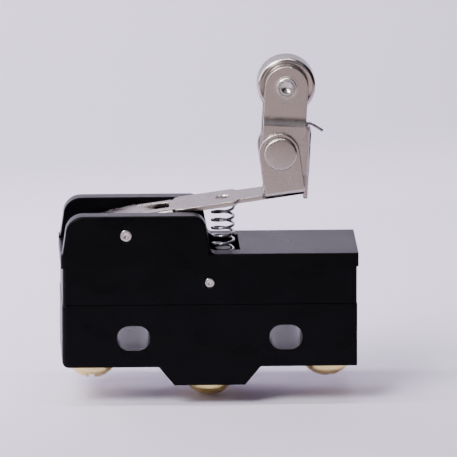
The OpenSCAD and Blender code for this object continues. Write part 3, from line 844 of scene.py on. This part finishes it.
def pin_profile(r, start, end, edge, dimple):
    """A pin with rounded edges and a conical dimple in each end."""
    face = [(0, start + dimple * 0.8), (dimple, start + 0.02), (dimple * 1.2, start)]
    rim = [(r - edge + p[0], start + edge + p[1]) for p in arc((0, 0), edge, -90, 0, 4)]
    first = face + rim
    return first + [(radius, start + end - y) for radius, y in reversed(first)]


class LIMITSWITCH_OT_pins(Maker, bpy.types.Operator):
    """Hinge pin of the lever and the rivets that hold the cover"""

    bl_idname = "limit_switch.pins"
    bl_label = "Hinge pin and cover rivets"

    rivet_l = 2.35

    def make(self):
        place = middle("hinge_pin")
        start, end = low("hinge_pin"), high("hinge_pin")
        pin = lathe(pin_profile((end.x - start.x) / 2, start.y, end.y, 0.2, 0.34), (place.x, place.z))
        finish_piece(pin, "lever_hinge_pin", "case", ["hinge_pin"], "pin_steel")
        place = middle("cover_rivets")
        start, end = low("cover_rivets"), high("cover_rivets")
        r = (end.x - start.x) / 2
        front, back = (
            lathe(pin_profile(r, y, y + self.rivet_l, 0.16, 0.2), (place.x, place.z))
            for y in (start.y, end.y - self.rivet_l)
        )
        combine(front, [back], "UNION")
        finish_piece(front, "cover_rivet_pair", "case", ["cover_rivets"], "pin_steel")


class LIMITSWITCH_OT_screws(Maker, bpy.types.Operator):
    """Terminal screws with combination slots and their toothed lock washers"""

    bl_idname = "limit_switch.screws"
    bl_label = "Terminal screws and washers"

    rim_h = 0.9
    shank_d = 3.9
    slot_t = 1.1
    slot_depth = 1.1
    tip = 0.3
    turns = {"com": 84, "no": -48, "nc": -62}

    def screw(self, name):
        """A domed head with a long and a short slot, on a plain shank."""
        place = middle(name + "_screw")
        bottom, top = low(name + "_screw").z, high(name + "_screw").z
        seat = low(name + "_washer").z
        r = (high(name + "_screw").y - low(name + "_screw").y) / 2
        head_h = seat - bottom
        dome = head_h - self.rim_h
        dome_r = (r * r + dome * dome) / (2 * dome)
        edge = math.asin(r / dome_r) * 0.985
        turns = [edge * i / 10 for i in range(11)]
        profile = [(dome_r * math.sin(a), dome_r * (1 - math.cos(a))) for a in turns]
        profile += [(r, dome + 0.14), (r, head_h - 0.12), (r - 0.12, head_h)]
        shank_r, length, tip = self.shank_d / 2, top - bottom, self.tip
        profile += [(shank_r, head_h), (shank_r, length - tip), (shank_r - tip, length), (0, length)]
        head = lathe(profile, (0, 0), 64)
        cutters = []
        for k, slot_l in enumerate((3 * r, 1.25 * r)):
            half = Vector((slot_l / 2, 0, self.slot_t / 2))
            cutter = box((-half.x, -1, -half.z), (half.x, self.slot_depth, half.z))
            cutter.data.transform(Matrix.Rotation(math.radians(self.turns[name] + 90 * k), 4, "Y"))
            cutters.append(cutter)
        combine(head, cutters)
        round_edges(head, lambda a, b: 0.07 if (a.y + b.y) / 2 < head_h * 0.5 else 0.0, 2, 38)
        head.data.transform(upright(place.x, bottom))
        finish_piece(
            head, name + "_terminal_screw", "case", [name + "_screw"], "screw_brass", 36
        )

    def washer(self, name):
        """A thin washer with slightly twisted teeth round its rim."""
        place = middle(name + "_washer")
        start, end = low(name + "_washer"), high(name + "_washer")
        outer = (end.y - start.y) / 2
        inner = self.shank_d / 2 + 0.1
        root = outer - 0.8
        teeth, steps, half_t = 12, 6, 0.26
        bm = bmesh.new()
        rings = {key: [] for key in ("in_low", "in_high", "root_low", "root_high", "out_low", "out_high")}
        for i, a in enumerate(ring_angles(teeth * steps)):
            phase = (i % steps) / steps
            tooth = 0 < phase < 0.75
            rim = outer if tooth else root + 0.06
            twist = (phase - 0.4) * 0.5 if tooth else 0
            for key, r, z in (
                ("in_low", inner, -half_t), ("in_high", inner, half_t),
                ("root_low", root, -half_t), ("root_high", root, half_t),
                ("out_low", rim, twist - half_t), ("out_high", rim, twist + half_t),
            ):
                z = max(start.z + 0.01, min(end.z - 0.01, place.z + z))
                rings[key].append(bm.verts.new((place.x + r * math.cos(a), r * math.sin(a), z)))
        order = ("in_low", "root_low", "out_low", "out_high", "root_high", "in_high", "in_low")
        skin(bm, [rings[key] for key in order])
        obj = object_from(bm)
        finish_piece(
            obj, name + "_lock_washer", "case", [name + "_washer"], "screw_brass", 40, False
        )

    def make(self):
        for name in self.turns:
            self.screw(name)
            self.washer(name)


class LIMITSWITCH_OT_return_spring(Maker, bpy.types.Operator):
    """Coil spring between the plunger and the lever, with closed ends"""

    bl_idname = "limit_switch.return_spring"
    bl_label = "Return spring"

    steps = 28
    start_turn = 200
    dead = 0.9

    def make(self):
        spring = settings("round")
        start, end = low("return_spring"), high("return_spring")
        centre = middle("return_spring")
        r = (end.y - start.y) / 2 - spring.wire_d / 2
        first_z = start.z + spring.wire_d / 2
        last_z = end.z - spring.wire_d / 2
        close = self.dead * spring.wire_d
        path = []
        for i in range(spring.turns * self.steps + 1):
            turn = i / self.steps
            rise = min(1, max(0, (turn - self.dead / 2) / (spring.turns - self.dead)))
            a = math.radians(360 * turn + self.start_turn)
            z = first_z + close * (min(1, turn) + max(0, turn - spring.turns + 1))
            z += (last_z - first_z - 2 * close) * rise
            path.append((centre.x + r * math.cos(a), r * math.sin(a), z))
        obj = tube(path, spring.wire_d)
        seat = Vector((centre.x, 0, start.z)) * MM
        top = Vector((centre.x, 0, end.z)) * MM
        finish_piece(
            obj, "lever_return_spring", ("case", "lever", seat, top), ["return_spring"],
            "spring_wire", 60, False,
        )


class LIMITSWITCH_OT_lever(Maker, bpy.types.Operator):
    """Stamped lever with hinge lugs, a window with a lanced strip, a dimple and a fork"""

    bl_idname = "limit_switch.lever"
    bl_label = "Lever"

    plate_low = 1.49
    hinge_half, wide_half, neck_half = 4.1, 4.7, 3.45
    tail_half = 3.0
    bend_u = 2.2
    tail_bend = math.radians(4.3)
    hinge_end_u, wide_start_u = 8.8, 9.9
    wide_end_u, neck_start_u = 18.4, 19.4
    window_u = (2.6, 7.8)
    window_half = 1.9
    lug_bend_r = 0.7
    lug_u = (2.6, 8.3)
    lug_r = 2.2
    pin_hole_r = 1.06
    rivet_hole_r = 1.32
    strip_half = 1.72
    strip_l = 2.9
    strip_drop = math.radians(14)
    dimple_u = 16.85
    dimple_r, dimple_wall, dimple_depth = 1.5, 0.35, 1.2
    fork_u = (23.85, 30.6)
    plate_end_u = 30.2
    fork_half = 4.3
    fork_bend_r = 0.8

    def plate(self, mid_w):
        """The flat plate with its tail, window and dimple hole."""
        sheet = settings("sheet")
        tail_slope = sheet.lever_slope + self.tail_bend
        foot_x = low("lever").x + sheet.lever_t / 2
        bend = lever_frame() @ Vector((self.bend_u, 0, mid_w))
        corner = (bend.x - foot_x) / math.cos(tail_slope)
        drop = bend.z - corner * math.sin(tail_slope) - low("lever").z
        foot_turn = math.pi / 2 - tail_slope
        foot_r = 0.8
        tangent = foot_r * math.tan(foot_turn / 2)
        foot_at = corner - tangent
        length = foot_at + foot_turn * foot_r + drop - tangent
        tail_r = 3.0
        bends = [(0, self.tail_bend, tail_r), (foot_at, foot_turn, foot_r)]

        def fold(s, t):
            if s > self.bend_u:
                return (s, t, mid_w)
            u, w = bent(self.bend_u - s, (self.bend_u, mid_w), math.pi, bends)
            return (u, t, w)

        flat_fork = self.fork_half - sheet.lever_t / 2 - self.fork_bend_r
        flat_lug = self.hinge_half - sheet.lever_t / 2 - self.lug_bend_r
        tail_end = self.bend_u - length
        corner_r = 0.8
        half = [
            *arc((tail_end + corner_r, self.tail_half - corner_r), corner_r, 180, 90, 6),
            (self.bend_u - 5.2, self.tail_half), (self.bend_u - 4.4, self.hinge_half - 0.35),
            (self.lug_u[0] - 0.35, self.hinge_half - 0.35), (self.lug_u[0] - 0.15, flat_lug),
            (self.lug_u[0], flat_lug), (self.lug_u[1], flat_lug), (self.lug_u[1] + 0.25, flat_lug),
            (self.hinge_end_u, self.hinge_half),
            *arc((self.wide_start_u, self.wide_half - 0.7), 0.7, 110, 90, 3),
            *arc((self.wide_end_u, self.wide_half - 0.7), 0.7, 90, 52, 4),
            (self.neck_start_u, self.neck_half), (self.fork_u[0] - 0.35, self.neck_half),
            (self.fork_u[0] - 0.15, flat_fork), (self.fork_u[0], flat_fork), (self.plate_end_u, flat_fork),
        ]
        near, far = self.window_u
        r = 0.4
        half_window = [
            (near, self.strip_half), (near, self.window_half - 0.08), (near + 0.08, self.window_half),
            *arc((far - r, self.window_half - r), r, 90, 0, 5),
        ]
        facets = 40
        rim = arc((self.dimple_u, 0), self.dimple_r - 0.2, 0, 360 - 360 / facets, facets - 1)
        steps = sheet.bend_steps
        cuts = [(0, self.bend_u - tail_r * self.tail_bend * i / 2) for i in range(3)]
        cuts += [(0, self.bend_u - foot_at - foot_turn * foot_r * i / steps) for i in range(steps + 1)]
        return flat_patch(mirrored(half), [mirrored(half_window), rim], cuts, fold)

    def lug(self, side, mid_w):
        """A lug that turns down and holds the hinge pin."""
        sheet = settings("sheet")
        start_y = self.hinge_half - sheet.lever_t / 2 - self.lug_bend_r
        bend_l = self.lug_bend_r * math.pi / 2
        bend_end_w = mid_w - self.lug_bend_r
        slit_w = bend_end_w + 0.18

        def flat(u, w):
            return (u, bend_l + bend_end_w - w)

        left = -math.sqrt(self.lug_r**2 - slit_w**2)
        start_angle = math.degrees(math.atan2(slit_w, left))
        near, far = self.lug_u
        outline = [
            (near, 0), (near, bend_l * 0.7), flat(near - 0.2, slit_w),
            *(flat(*p) for p in arc((0, 0), self.lug_r, start_angle, 290, 20)),
            flat(far - 0.5, bend_end_w - 0.35), flat(far, bend_end_w + 0.02), (far, 0),
        ]
        hole = round_hole(flat, (0, 0), self.pin_hole_r)
        cuts = bend_cuts(1, bend_l, sheet.bend_steps)

        def fold(s, t):
            y, w = bent(t, (start_y, mid_w), 0, [(0, -math.pi / 2, self.lug_bend_r)])
            return (s, side * y, w)

        return flat_patch(outline, [hole], cuts, fold)

    def fork_ear(self, side, mid_w):
        """An ear of the fork that turns up and carries the arm's rivet."""
        sheet = settings("sheet")
        start_y = self.fork_half - sheet.lever_t / 2 - self.fork_bend_r
        bend_l = self.fork_bend_r * math.pi / 2
        bend_end_w = mid_w + self.fork_bend_r
        pivot = lever_frame().inverted() @ Vector((middle("arm_rivet").x, 0, middle("arm_rivet").z))
        near, far = self.fork_u
        r = (far - near) / 2

        def flat(u, w):
            return (u, bend_l + w - bend_end_w)

        outline = [
            (near, 0), *(flat(*p) for p in arc(((near + far) / 2, pivot.z), r, 180, 0, 24)),
            flat(far, bend_end_w + 0.35), (far - 0.12, bend_l * 0.55), (self.plate_end_u, 0),
        ]
        hole = round_hole(flat, (pivot.x, pivot.z), self.rivet_hole_r)
        cuts = bend_cuts(1, bend_l, sheet.bend_steps)

        def fold(s, t):
            y, w = bent(t, (start_y, mid_w), 0, [(0, math.pi / 2, self.fork_bend_r)])
            return (s, side * y, w)

        return flat_patch(outline, [hole], cuts, fold)

    def strip(self, mid_w):
        """The strip lanced out of the window and bent down."""
        near = self.window_u[0]
        half = self.strip_half
        r = 0.5
        outline = [
            (near, -half), *arc((near + self.strip_l - r, -half + r), r, -90, 0, 4),
            *arc((near + self.strip_l - r, half - r), r, 0, 90, 4), (near, half),
        ]
        bend_r = 1.2
        bend_l = bend_r * self.strip_drop

        def fold(s, t):
            u, w = bent(s - near, (near, mid_w), 0, [(0, -self.strip_drop, bend_r)])
            return (u, t, w)

        return flat_patch(outline, [], [(0, near + bend_l * i / 3) for i in (1, 2, 3)], fold)

    def dimple(self, mid_w, top_w):
        """The cup pressed into the plate, which centres the return spring."""
        r, wall, bottom = self.dimple_r, self.dimple_wall, mid_w - self.dimple_depth
        profile = [
            (0, bottom), (r - 0.2, bottom), (r, bottom + 0.2), (r, top_w - 0.1), (r - 0.06, top_w - 0.02),
            (r - 0.2, top_w - 0.05), (r - 0.3, top_w - 0.16), (r - wall, top_w - 0.34),
            (r - wall, bottom + wall + 0.12), (r - wall - 0.15, bottom + wall), (0, bottom + wall),
        ]
        cup = lathe(profile, (0, 0), 40)
        cup.data.transform(lever_frame() @ upright(self.dimple_u))
        return cup

    def make(self):
        sheet = settings("sheet")
        mid_w = self.plate_low + sheet.lever_t / 2
        patches = [self.plate(mid_w), self.strip(mid_w)]
        for side in SIDES:
            patches += [self.lug(side, mid_w), self.fork_ear(side, mid_w)]
        obj = sheet_metal(patches, sheet.lever_t, lever_frame())
        combine(obj, [self.dimple(mid_w, mid_w + sheet.lever_t / 2)], "UNION")
        finish_piece(obj, "stamped_lever", "lever", ["lever"], "nickel_sheet")


class LIMITSWITCH_OT_arm_rivet(Maker, bpy.types.Operator):
    """Wide flat rivet that the roller arm turns on"""

    bl_idname = "limit_switch.arm_rivet"
    bl_label = "Arm rivet"

    far_head_r = 2.2
    shank_r = 1.3
    edge = 0.36
    fork_half = 4.3

    def make(self):
        place = middle("arm_rivet")
        start, end = low("arm_rivet"), high("arm_rivet")
        r = (end.x - start.x) / 2
        fork = self.fork_half
        head = [(0, start.y), (r - self.edge, start.y)]
        head += arc((r - self.edge, start.y + self.edge), self.edge, -90, 0, 6)[1:]
        head += [(r, -fork - 0.06), (r - 0.06, -fork), (self.shank_r, -fork), (self.shank_r, fork)]
        r = self.far_head_r
        head += [(r - 0.06, fork), (r, fork + 0.06)]
        head += arc((r - 0.3, end.y - 0.3), 0.3, 0, 90, 5)
        head += [(0, end.y)]
        obj = lathe(head, (place.x, place.z), 96)
        finish_piece(obj, "arm_pivot_rivet", "lever", ["arm_rivet"], "nickel_sheet")


class LIMITSWITCH_OT_torsion_spring(Maker, bpy.types.Operator):
    """Spring round the rivet that holds the roller arm upright"""

    bl_idname = "limit_switch.torsion_spring"
    bl_label = "Torsion spring"

    half_w = 1.75
    coil_r = 1.95
    steps = 24
    start_angle = 180
    end_angle = 110
    low_leg = ((-2.4, -7.15), (-2.28, -5), (-2.12, -2.8))
    high_leg = ((0.9, 2.28), (2.1, 2.68), (3.4, 3.42), (4.3, 4.0), (4.9, 4.13), (5.6, 3.8), (7.15, 2.9))

    def make(self):
        spring = settings("round")
        sweep = 360 * (spring.turns - 1) + self.start_angle - self.end_angle
        count = self.steps * spring.turns
        path = [(x, -self.half_w, z) for x, z in self.low_leg]
        for i in range(count + 1):
            a = math.radians(self.start_angle - sweep * i / count)
            y = self.half_w * (2 * i / count - 1)
            path.append((self.coil_r * math.cos(a), y, self.coil_r * math.sin(a)))
        path += [(x, self.half_w, z) for x, z in self.high_leg]
        obj = tube([arm_frame() @ Vector(p) for p in path], spring.torsion_wire_d, 14)
        start = Vector((0, -self.half_w * MM, 0))
        end = Vector((0, self.half_w * MM, 0))
        finish_piece(
            obj, "arm_torsion_spring", ("lever", "roller_arm", start, end), ["torsion_spring"],
            "spring_wire", 60, False,
        )


class LIMITSWITCH_OT_roller_arm(Maker, bpy.types.Operator):
    """Folded arm with a joggle and a stop tongue that carries the roller"""

    bl_idname = "limit_switch.roller_arm"
    bl_label = "Roller arm"

    web_a = 5.05
    bend_r = 0.575
    low_half = 3.45
    high_half = 3.1
    bottom_b = -3.8
    web_top_b = 3.6
    joggle_b = (4.4, 6.5)
    left_a = -3.1
    ear_r = 3.6
    roller_at = (0.5, 11.0)
    tongue_half = 1.8
    tongue_b = -8.1
    pivot_hole_r = 1.36
    axle_hole_r = 1.27

    def inward(self, b):
        """How far the joggle brings the plate in at a height."""
        first, last = self.joggle_b
        part = min(1, max(0, (b - first) / (last - first)))
        return (self.low_half - self.high_half) * (1 - (1 - part) ** 2.4)

    def web(self, mid_a, flat_y):
        """The back of the arm, with the stop tongue."""
        r = 0.4
        half = [
            (flat_y, self.web_top_b), (flat_y, self.bottom_b),
            (self.tongue_half + 0.25, self.bottom_b), (self.tongue_half, self.bottom_b),
            *arc((self.tongue_half - r, self.tongue_b + r), r, 0, -90, 4),
        ]
        outline = half + [(-y, b) for y, b in reversed(half)]
        return flat_patch(outline, [], [], lambda y, b: (mid_a, y, b))

    def side(self, sign, mid_a, flat_y):
        """A side plate that folds back from the web and carries the roller's axle."""
        sheet = settings("sheet")
        bend_l = self.bend_r * math.pi / 2
        edge_a = mid_a - self.bend_r

        def flat(a, b):
            return (bend_l + edge_a - a, b)

        outline = [
            (0, self.bottom_b), (bend_l, self.bottom_b), flat(self.left_a + 1, self.bottom_b),
            flat(self.left_a, self.bottom_b + 1), flat(self.left_a, self.joggle_b[0]),
            *(flat(*p) for p in arc(self.roller_at, self.ear_r, 180, 0, 28)),
            flat(edge_a, self.joggle_b[0] + 0.1), (bend_l * 0.85, self.joggle_b[0] - 0.15),
            (bend_l * 0.3, self.web_top_b + 0.05), (0, self.web_top_b),
        ]
        holes = [
            round_hole(flat, (0, 0), self.pivot_hole_r), round_hole(flat, self.roller_at, self.axle_hole_r)
        ]
        cuts = bend_cuts(0, bend_l, sheet.bend_steps)
        first, last = self.joggle_b
        cuts += [(1, first + (last - first) * i / 8) for i in range(9)]

        def fold(d, b):
            a, y = bent(d, (mid_a, flat_y), math.pi / 2, [(0, math.pi / 2, self.bend_r)])
            return (a, sign * (y - self.inward(b)), b)

        return flat_patch(outline, holes, cuts, fold)

    def make(self):
        sheet = settings("sheet")
        mid_a = self.web_a - sheet.arm_t / 2
        flat_y = self.low_half - sheet.arm_t / 2 - self.bend_r
        patches = [self.web(mid_a, flat_y), *(self.side(sign, mid_a, flat_y) for sign in SIDES)]
        obj = sheet_metal(patches, sheet.arm_t, arm_frame())
        finish_piece(obj, "folded_roller_arm", "roller_arm", ["roller_arm"], "nickel_sheet")


class LIMITSWITCH_OT_roller(Maker, bpy.types.Operator):
    """Turned roller and its peened axle"""

    bl_idname = "limit_switch.roller"
    bl_label = "Roller and axle"

    bore_r = 1.31
    facets = 120
    arm_half = 3.1
    peening = (
        (0, 0.5), (0.3, 0.36), (0.62, 0.2), (0.86, 0.06), (0.98, 0.01), (1.08, 0.0), (1.18, 0.04),
        (1.25, 0.14), (1.27, 0.19), (1.34, 0.19), (1.4, 0.08), (1.5, 0.05), (1.6, 0.1),
    )

    def roller(self):
        place = middle("roller")
        start, end = low("roller"), high("roller")
        r = (end.x - start.x) / 2
        h = (end.y - start.y) / 2
        edge = settings("round").roller_edge
        bore = self.bore_r
        half = [
            (bore, -h + 0.12), (bore + 0.12, -h), (r * 0.52, -h), (r * 0.56, -h + 0.07),
            (r - edge - 0.12, -h + 0.07), *arc((r - edge, -h + edge), edge, -84, 0, 7),
        ]
        bm = bmesh.new()
        rings = [
            [
                bm.verts.new((place.x + radius * math.cos(a), y, place.z + radius * math.sin(a)))
                for a in ring_angles(self.facets)
            ]
            for radius, y in mirrored(half)
        ]
        skin(bm, rings + rings[:1])
        obj = object_from(bm)
        finish_piece(obj, "turned_roller", "roller", ["roller"], "roller_steel")

    def axle(self):
        place = middle("roller_axle")
        start = low("roller_axle").y
        face = -self.arm_half - start
        collar = (
            (1.66, face - 0.03), (1.95, face - 0.02), (2.0, face + 0.02), (1.24, face + 0.03),
        )
        half = [(r, start + depth) for r, depth in self.peening + collar] + [(1.24, 0)]
        profile = half + [(r, -y) for r, y in reversed(half)][1:]
        obj = lathe(profile, (place.x, place.z))
        finish_piece(obj, "peened_axle", "roller_arm", ["roller_axle"], "pin_steel")

    def make(self):
        self.roller()
        self.axle()


class LIMITSWITCH_OT_inner_parts(Maker, bpy.types.Operator):
    """Finishes of the terminals, the contacts and the plunger, and a copper copy of the snap blade"""

    bl_idname = "limit_switch.inner_parts"
    bl_label = "Inner parts"

    finishes = {
        "com_terminal": "terminal_brass", "no_terminal": "terminal_brass", "nc_terminal": "terminal_brass",
        "tongue_anchor": "pin_steel", "blade_rivets": "pin_steel",
        "moving_contact": "contact_silver", "nc_contact": "contact_silver", "no_contact": "contact_silver",
        "plunger": "plunger_plastic",
    }
    bend_x = (-7.5, 1.2)

    def make(self):
        for node, slot in self.finishes.items():
            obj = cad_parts[node]
            for own in obj.material_slots:
                own.link = "OBJECT"
                own.material = finish_of(slot)
        self.blade()

    def blade(self):
        """The snap blade, copied from the frame in its place with the copper finish."""
        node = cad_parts["snap_blade"]
        mesh = node.data.copy()
        mesh.transform(node.matrix_world)
        mesh.materials.clear()
        mesh.materials.append(finish_of("spring_copper"))
        blade = bpy.data.objects.new("snap_spring_blade", mesh)
        bpy.context.scene.collection.objects.link(blade)
        z = middle("snap_blade").z
        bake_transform(blade)
        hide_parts("snap_blade")


class LIMITSWITCH_OT_stage(Maker, bpy.types.Operator):
    """Plain pale floor that curves up into a backdrop, soft lamps and the camera"""

    bl_idname = "limit_switch.stage"
    bl_label = "Stage"

    half_w = 0.3
    front_y = -0.1
    bend_y = 0.122
    bend_slant = 0.35
    bend_r = 0.012
    wall_h = 0.2
    black = (0.01, 0.01, 0.01)
    air, air_strength = (0.80, 0.77, 0.86), 0.36
    # Place, aim, size in metres and power in watts
    lamps = {
        "key_softbox": ((-0.26, -0.36, 0.42), (0, 0, 0), (0.26, 0.22), 4.4),
        "backdrop_softbox": ((-0.1, -0.05, 0.27), (-0.1, 0.13, 0.25), (0.4, 0.06), 2.4),
        "left_softbox": ((-0.55, -0.1, 0.2), (0, 0, 0.02), (0.35, 0.35), 1.4),
    }

    def paper(self):
        """The pale floor and wall as one curved sheet that stands slightly turned."""
        floor_z = CAD_BOX[0].z
        turns = [math.pi / 2 * i / 12 for i in range(13)]
        bm = bmesh.new()
        rows = [[bm.verts.new((x, self.front_y, floor_z)) for x in (-self.half_w, self.half_w)]]
        for a in turns:
            ahead, up = self.bend_r * math.sin(a), self.bend_r * (1 - math.cos(a))
            rows.append([
                bm.verts.new((x, self.bend_y + self.bend_slant * x + ahead, floor_z + up))
                for x in (-self.half_w, self.half_w)
            ])
        rows.append([bm.verts.new(v.co + Vector((0, 0, self.wall_h))) for v in rows[-1]])
        for first, second in zip(rows, rows[1:]):
            bm.faces.new((first[0], first[1], second[1], second[0]))
        self.stage_piece(object_from(bm, "floor_and_backdrop"), settings("stage").floor)

    def card(self, name, corners, tone):
        """A flat card or table top that only shows as a reflection."""
        bm = bmesh.new()
        bm.faces.new([bm.verts.new(corner) for corner in corners])
        obj = object_from(bm, name)
        obj.visible_camera = False
        self.stage_piece(obj, tone)

    def stage_piece(self, obj, tone):
        """Paints a piece of the stage on the side that faces the switch; it can be seen through from behind."""
        mesh = obj.data
        bm = bmesh.new()
        bm.from_mesh(mesh)
        aim = Vector((0, 0, 0.03))
        for face in bm.faces:
            face.normal_update()
            if face.normal.dot(aim - face.calc_center_median()) < 0:
                face.normal_flip()
        bm.to_mesh(mesh)
        bm.free()
        mesh.polygons.foreach_set("use_smooth", [True] * len(mesh.polygons))
        made = Finish(obj.name + "_paint")
        made.plain(Metallic=0.0, Specular_IOR_Level=0.0, Roughness=0.9)
        made.colour(made.noise(6), scaled(tone, 0.985), scaled(tone, 1.01))
        side = made.add("ShaderNodeNewGeometry").outputs["Backfacing"]
        clear = made.add("ShaderNodeBsdfTransparent").outputs["BSDF"]
        mix = made.add("ShaderNodeMixShader")
        output = made.tree.nodes["Material Output"]
        for k, source in enumerate((side, made.shader.outputs["BSDF"], clear)):
            made.tree.links.new(source, mix.inputs[k])
        made.tree.links.new(mix.outputs["Shader"], output.inputs["Surface"])
        mesh.materials.append(made.material)

    def lamp(self, name, place, aim, shape, power):
        """A soft rectangular lamp that points at a place."""
        data = bpy.data.lights.new(name, "AREA")
        data.shape = "RECTANGLE"
        data.size, data.size_y = shape
        data.energy = power
        obj = bpy.data.objects.new(name, data)
        bpy.context.scene.collection.objects.link(obj)
        obj.location = place
        obj.rotation_euler = (Vector(aim) - Vector(place)).to_track_quat("-Z", "Y").to_euler()

    def make(self):
        self.paper()
        wide, near, far = self.half_w, self.front_y, self.front_y - 0.9
        z = CAD_BOX[0].z - 0.002
        table = [(-wide, far, z), (wide, far, z), (wide, near, z), (-wide, near, z)]
        self.card("table", table, settings("stage").table)
        cards = {
            "right_card": [(0.3, -0.4, 0), (0.3, 0.12, 0), (0.3, 0.12, 0.3), (0.3, -0.4, 0.3)],
            "upper_card": [(-0.1, -0.22, 0.38), (0.3, -0.22, 0.38), (0.3, 0.0, 0.38), (-0.1, 0.0, 0.38)],
            "front_card": [(-wide, far, 0), (wide, far, 0), (wide, far, 0.16), (-wide, far, 0.16)],
        }
        for name, corners in cards.items():
            self.card(name, corners, self.black)
        for name, values in self.lamps.items():
            self.lamp(name, *values)
        world = bpy.data.worlds.new("studio")
        world.use_nodes = True
        background = world.node_tree.nodes["Background"]
        background.inputs["Color"].default_value = (*self.air, 1)
        background.inputs["Strength"].default_value = self.air_strength
        bpy.context.scene.world = world
        self.camera()

    def camera(self):
        """The camera, which looks at the switch from the stage's azimuth and elevation."""
        stage = settings("stage")
        a, e = stage.azimuth, stage.elevation
        back = Vector((math.sin(a) * math.cos(e), -math.cos(a) * math.cos(e), math.sin(e)))
        data = bpy.data.cameras.new("camera")
        data.lens = stage.lens
        data.clip_end = 10
        obj = bpy.data.objects.new("camera", data)
        bpy.context.scene.collection.objects.link(obj)
        turn = back.to_track_quat("Z", "Y")
        aim = turn @ Vector((stage.aim_right * MM, stage.aim_up * MM, 0))
        obj.location = aim + back * stage.distance
        obj.rotation_euler = turn.to_euler()
        bpy.context.scene.camera = obj


OPERATORS = (
    LIMITSWITCH_OT_stage,
    LIMITSWITCH_OT_case_base,
    LIMITSWITCH_OT_cover,
    LIMITSWITCH_OT_pins,
    LIMITSWITCH_OT_screws,
    LIMITSWITCH_OT_return_spring,
    LIMITSWITCH_OT_lever,
    LIMITSWITCH_OT_arm_rivet,
    LIMITSWITCH_OT_torsion_spring,
    LIMITSWITCH_OT_roller_arm,
    LIMITSWITCH_OT_roller,
    LIMITSWITCH_OT_inner_parts,
)


class LIMITSWITCH_PT_pieces(bpy.types.Panel):
    """Lists the pieces of the switch"""

    bl_idname = "LIMITSWITCH_PT_pieces"
    bl_label = "Limit Switch"
    bl_space_type = "VIEW_3D"
    bl_region_type = "UI"
    bl_category = "Limit Switch"

    def draw(self, context):
        for operator in OPERATORS:
            self.layout.operator(operator.bl_idname)
        for name, group in GROUPS.items():
            part = self.layout.box()
            part.label(text=group.__doc__)
            for value in group.__annotations__:
                part.prop(settings(name), value)


CLASSES = (*GROUPS.values(), *OPERATORS, LIMITSWITCH_PT_pieces)


def register():
    for cls in CLASSES:
        bpy.utils.register_class(cls)
    for name, group in GROUPS.items():
        setattr(bpy.types.Scene, "limit_switch_" + name, PointerProperty(type=group))


def unregister():
    for name in GROUPS:
        delattr(bpy.types.Scene, "limit_switch_" + name)
    for cls in reversed(CLASSES):
        bpy.utils.unregister_class(cls)


def main():
    register()
    for operator in OPERATORS:
        group, name = operator.bl_idname.split(".")
        getattr(getattr(bpy.ops, group), name)()


if __name__ == "__main__":
    main()
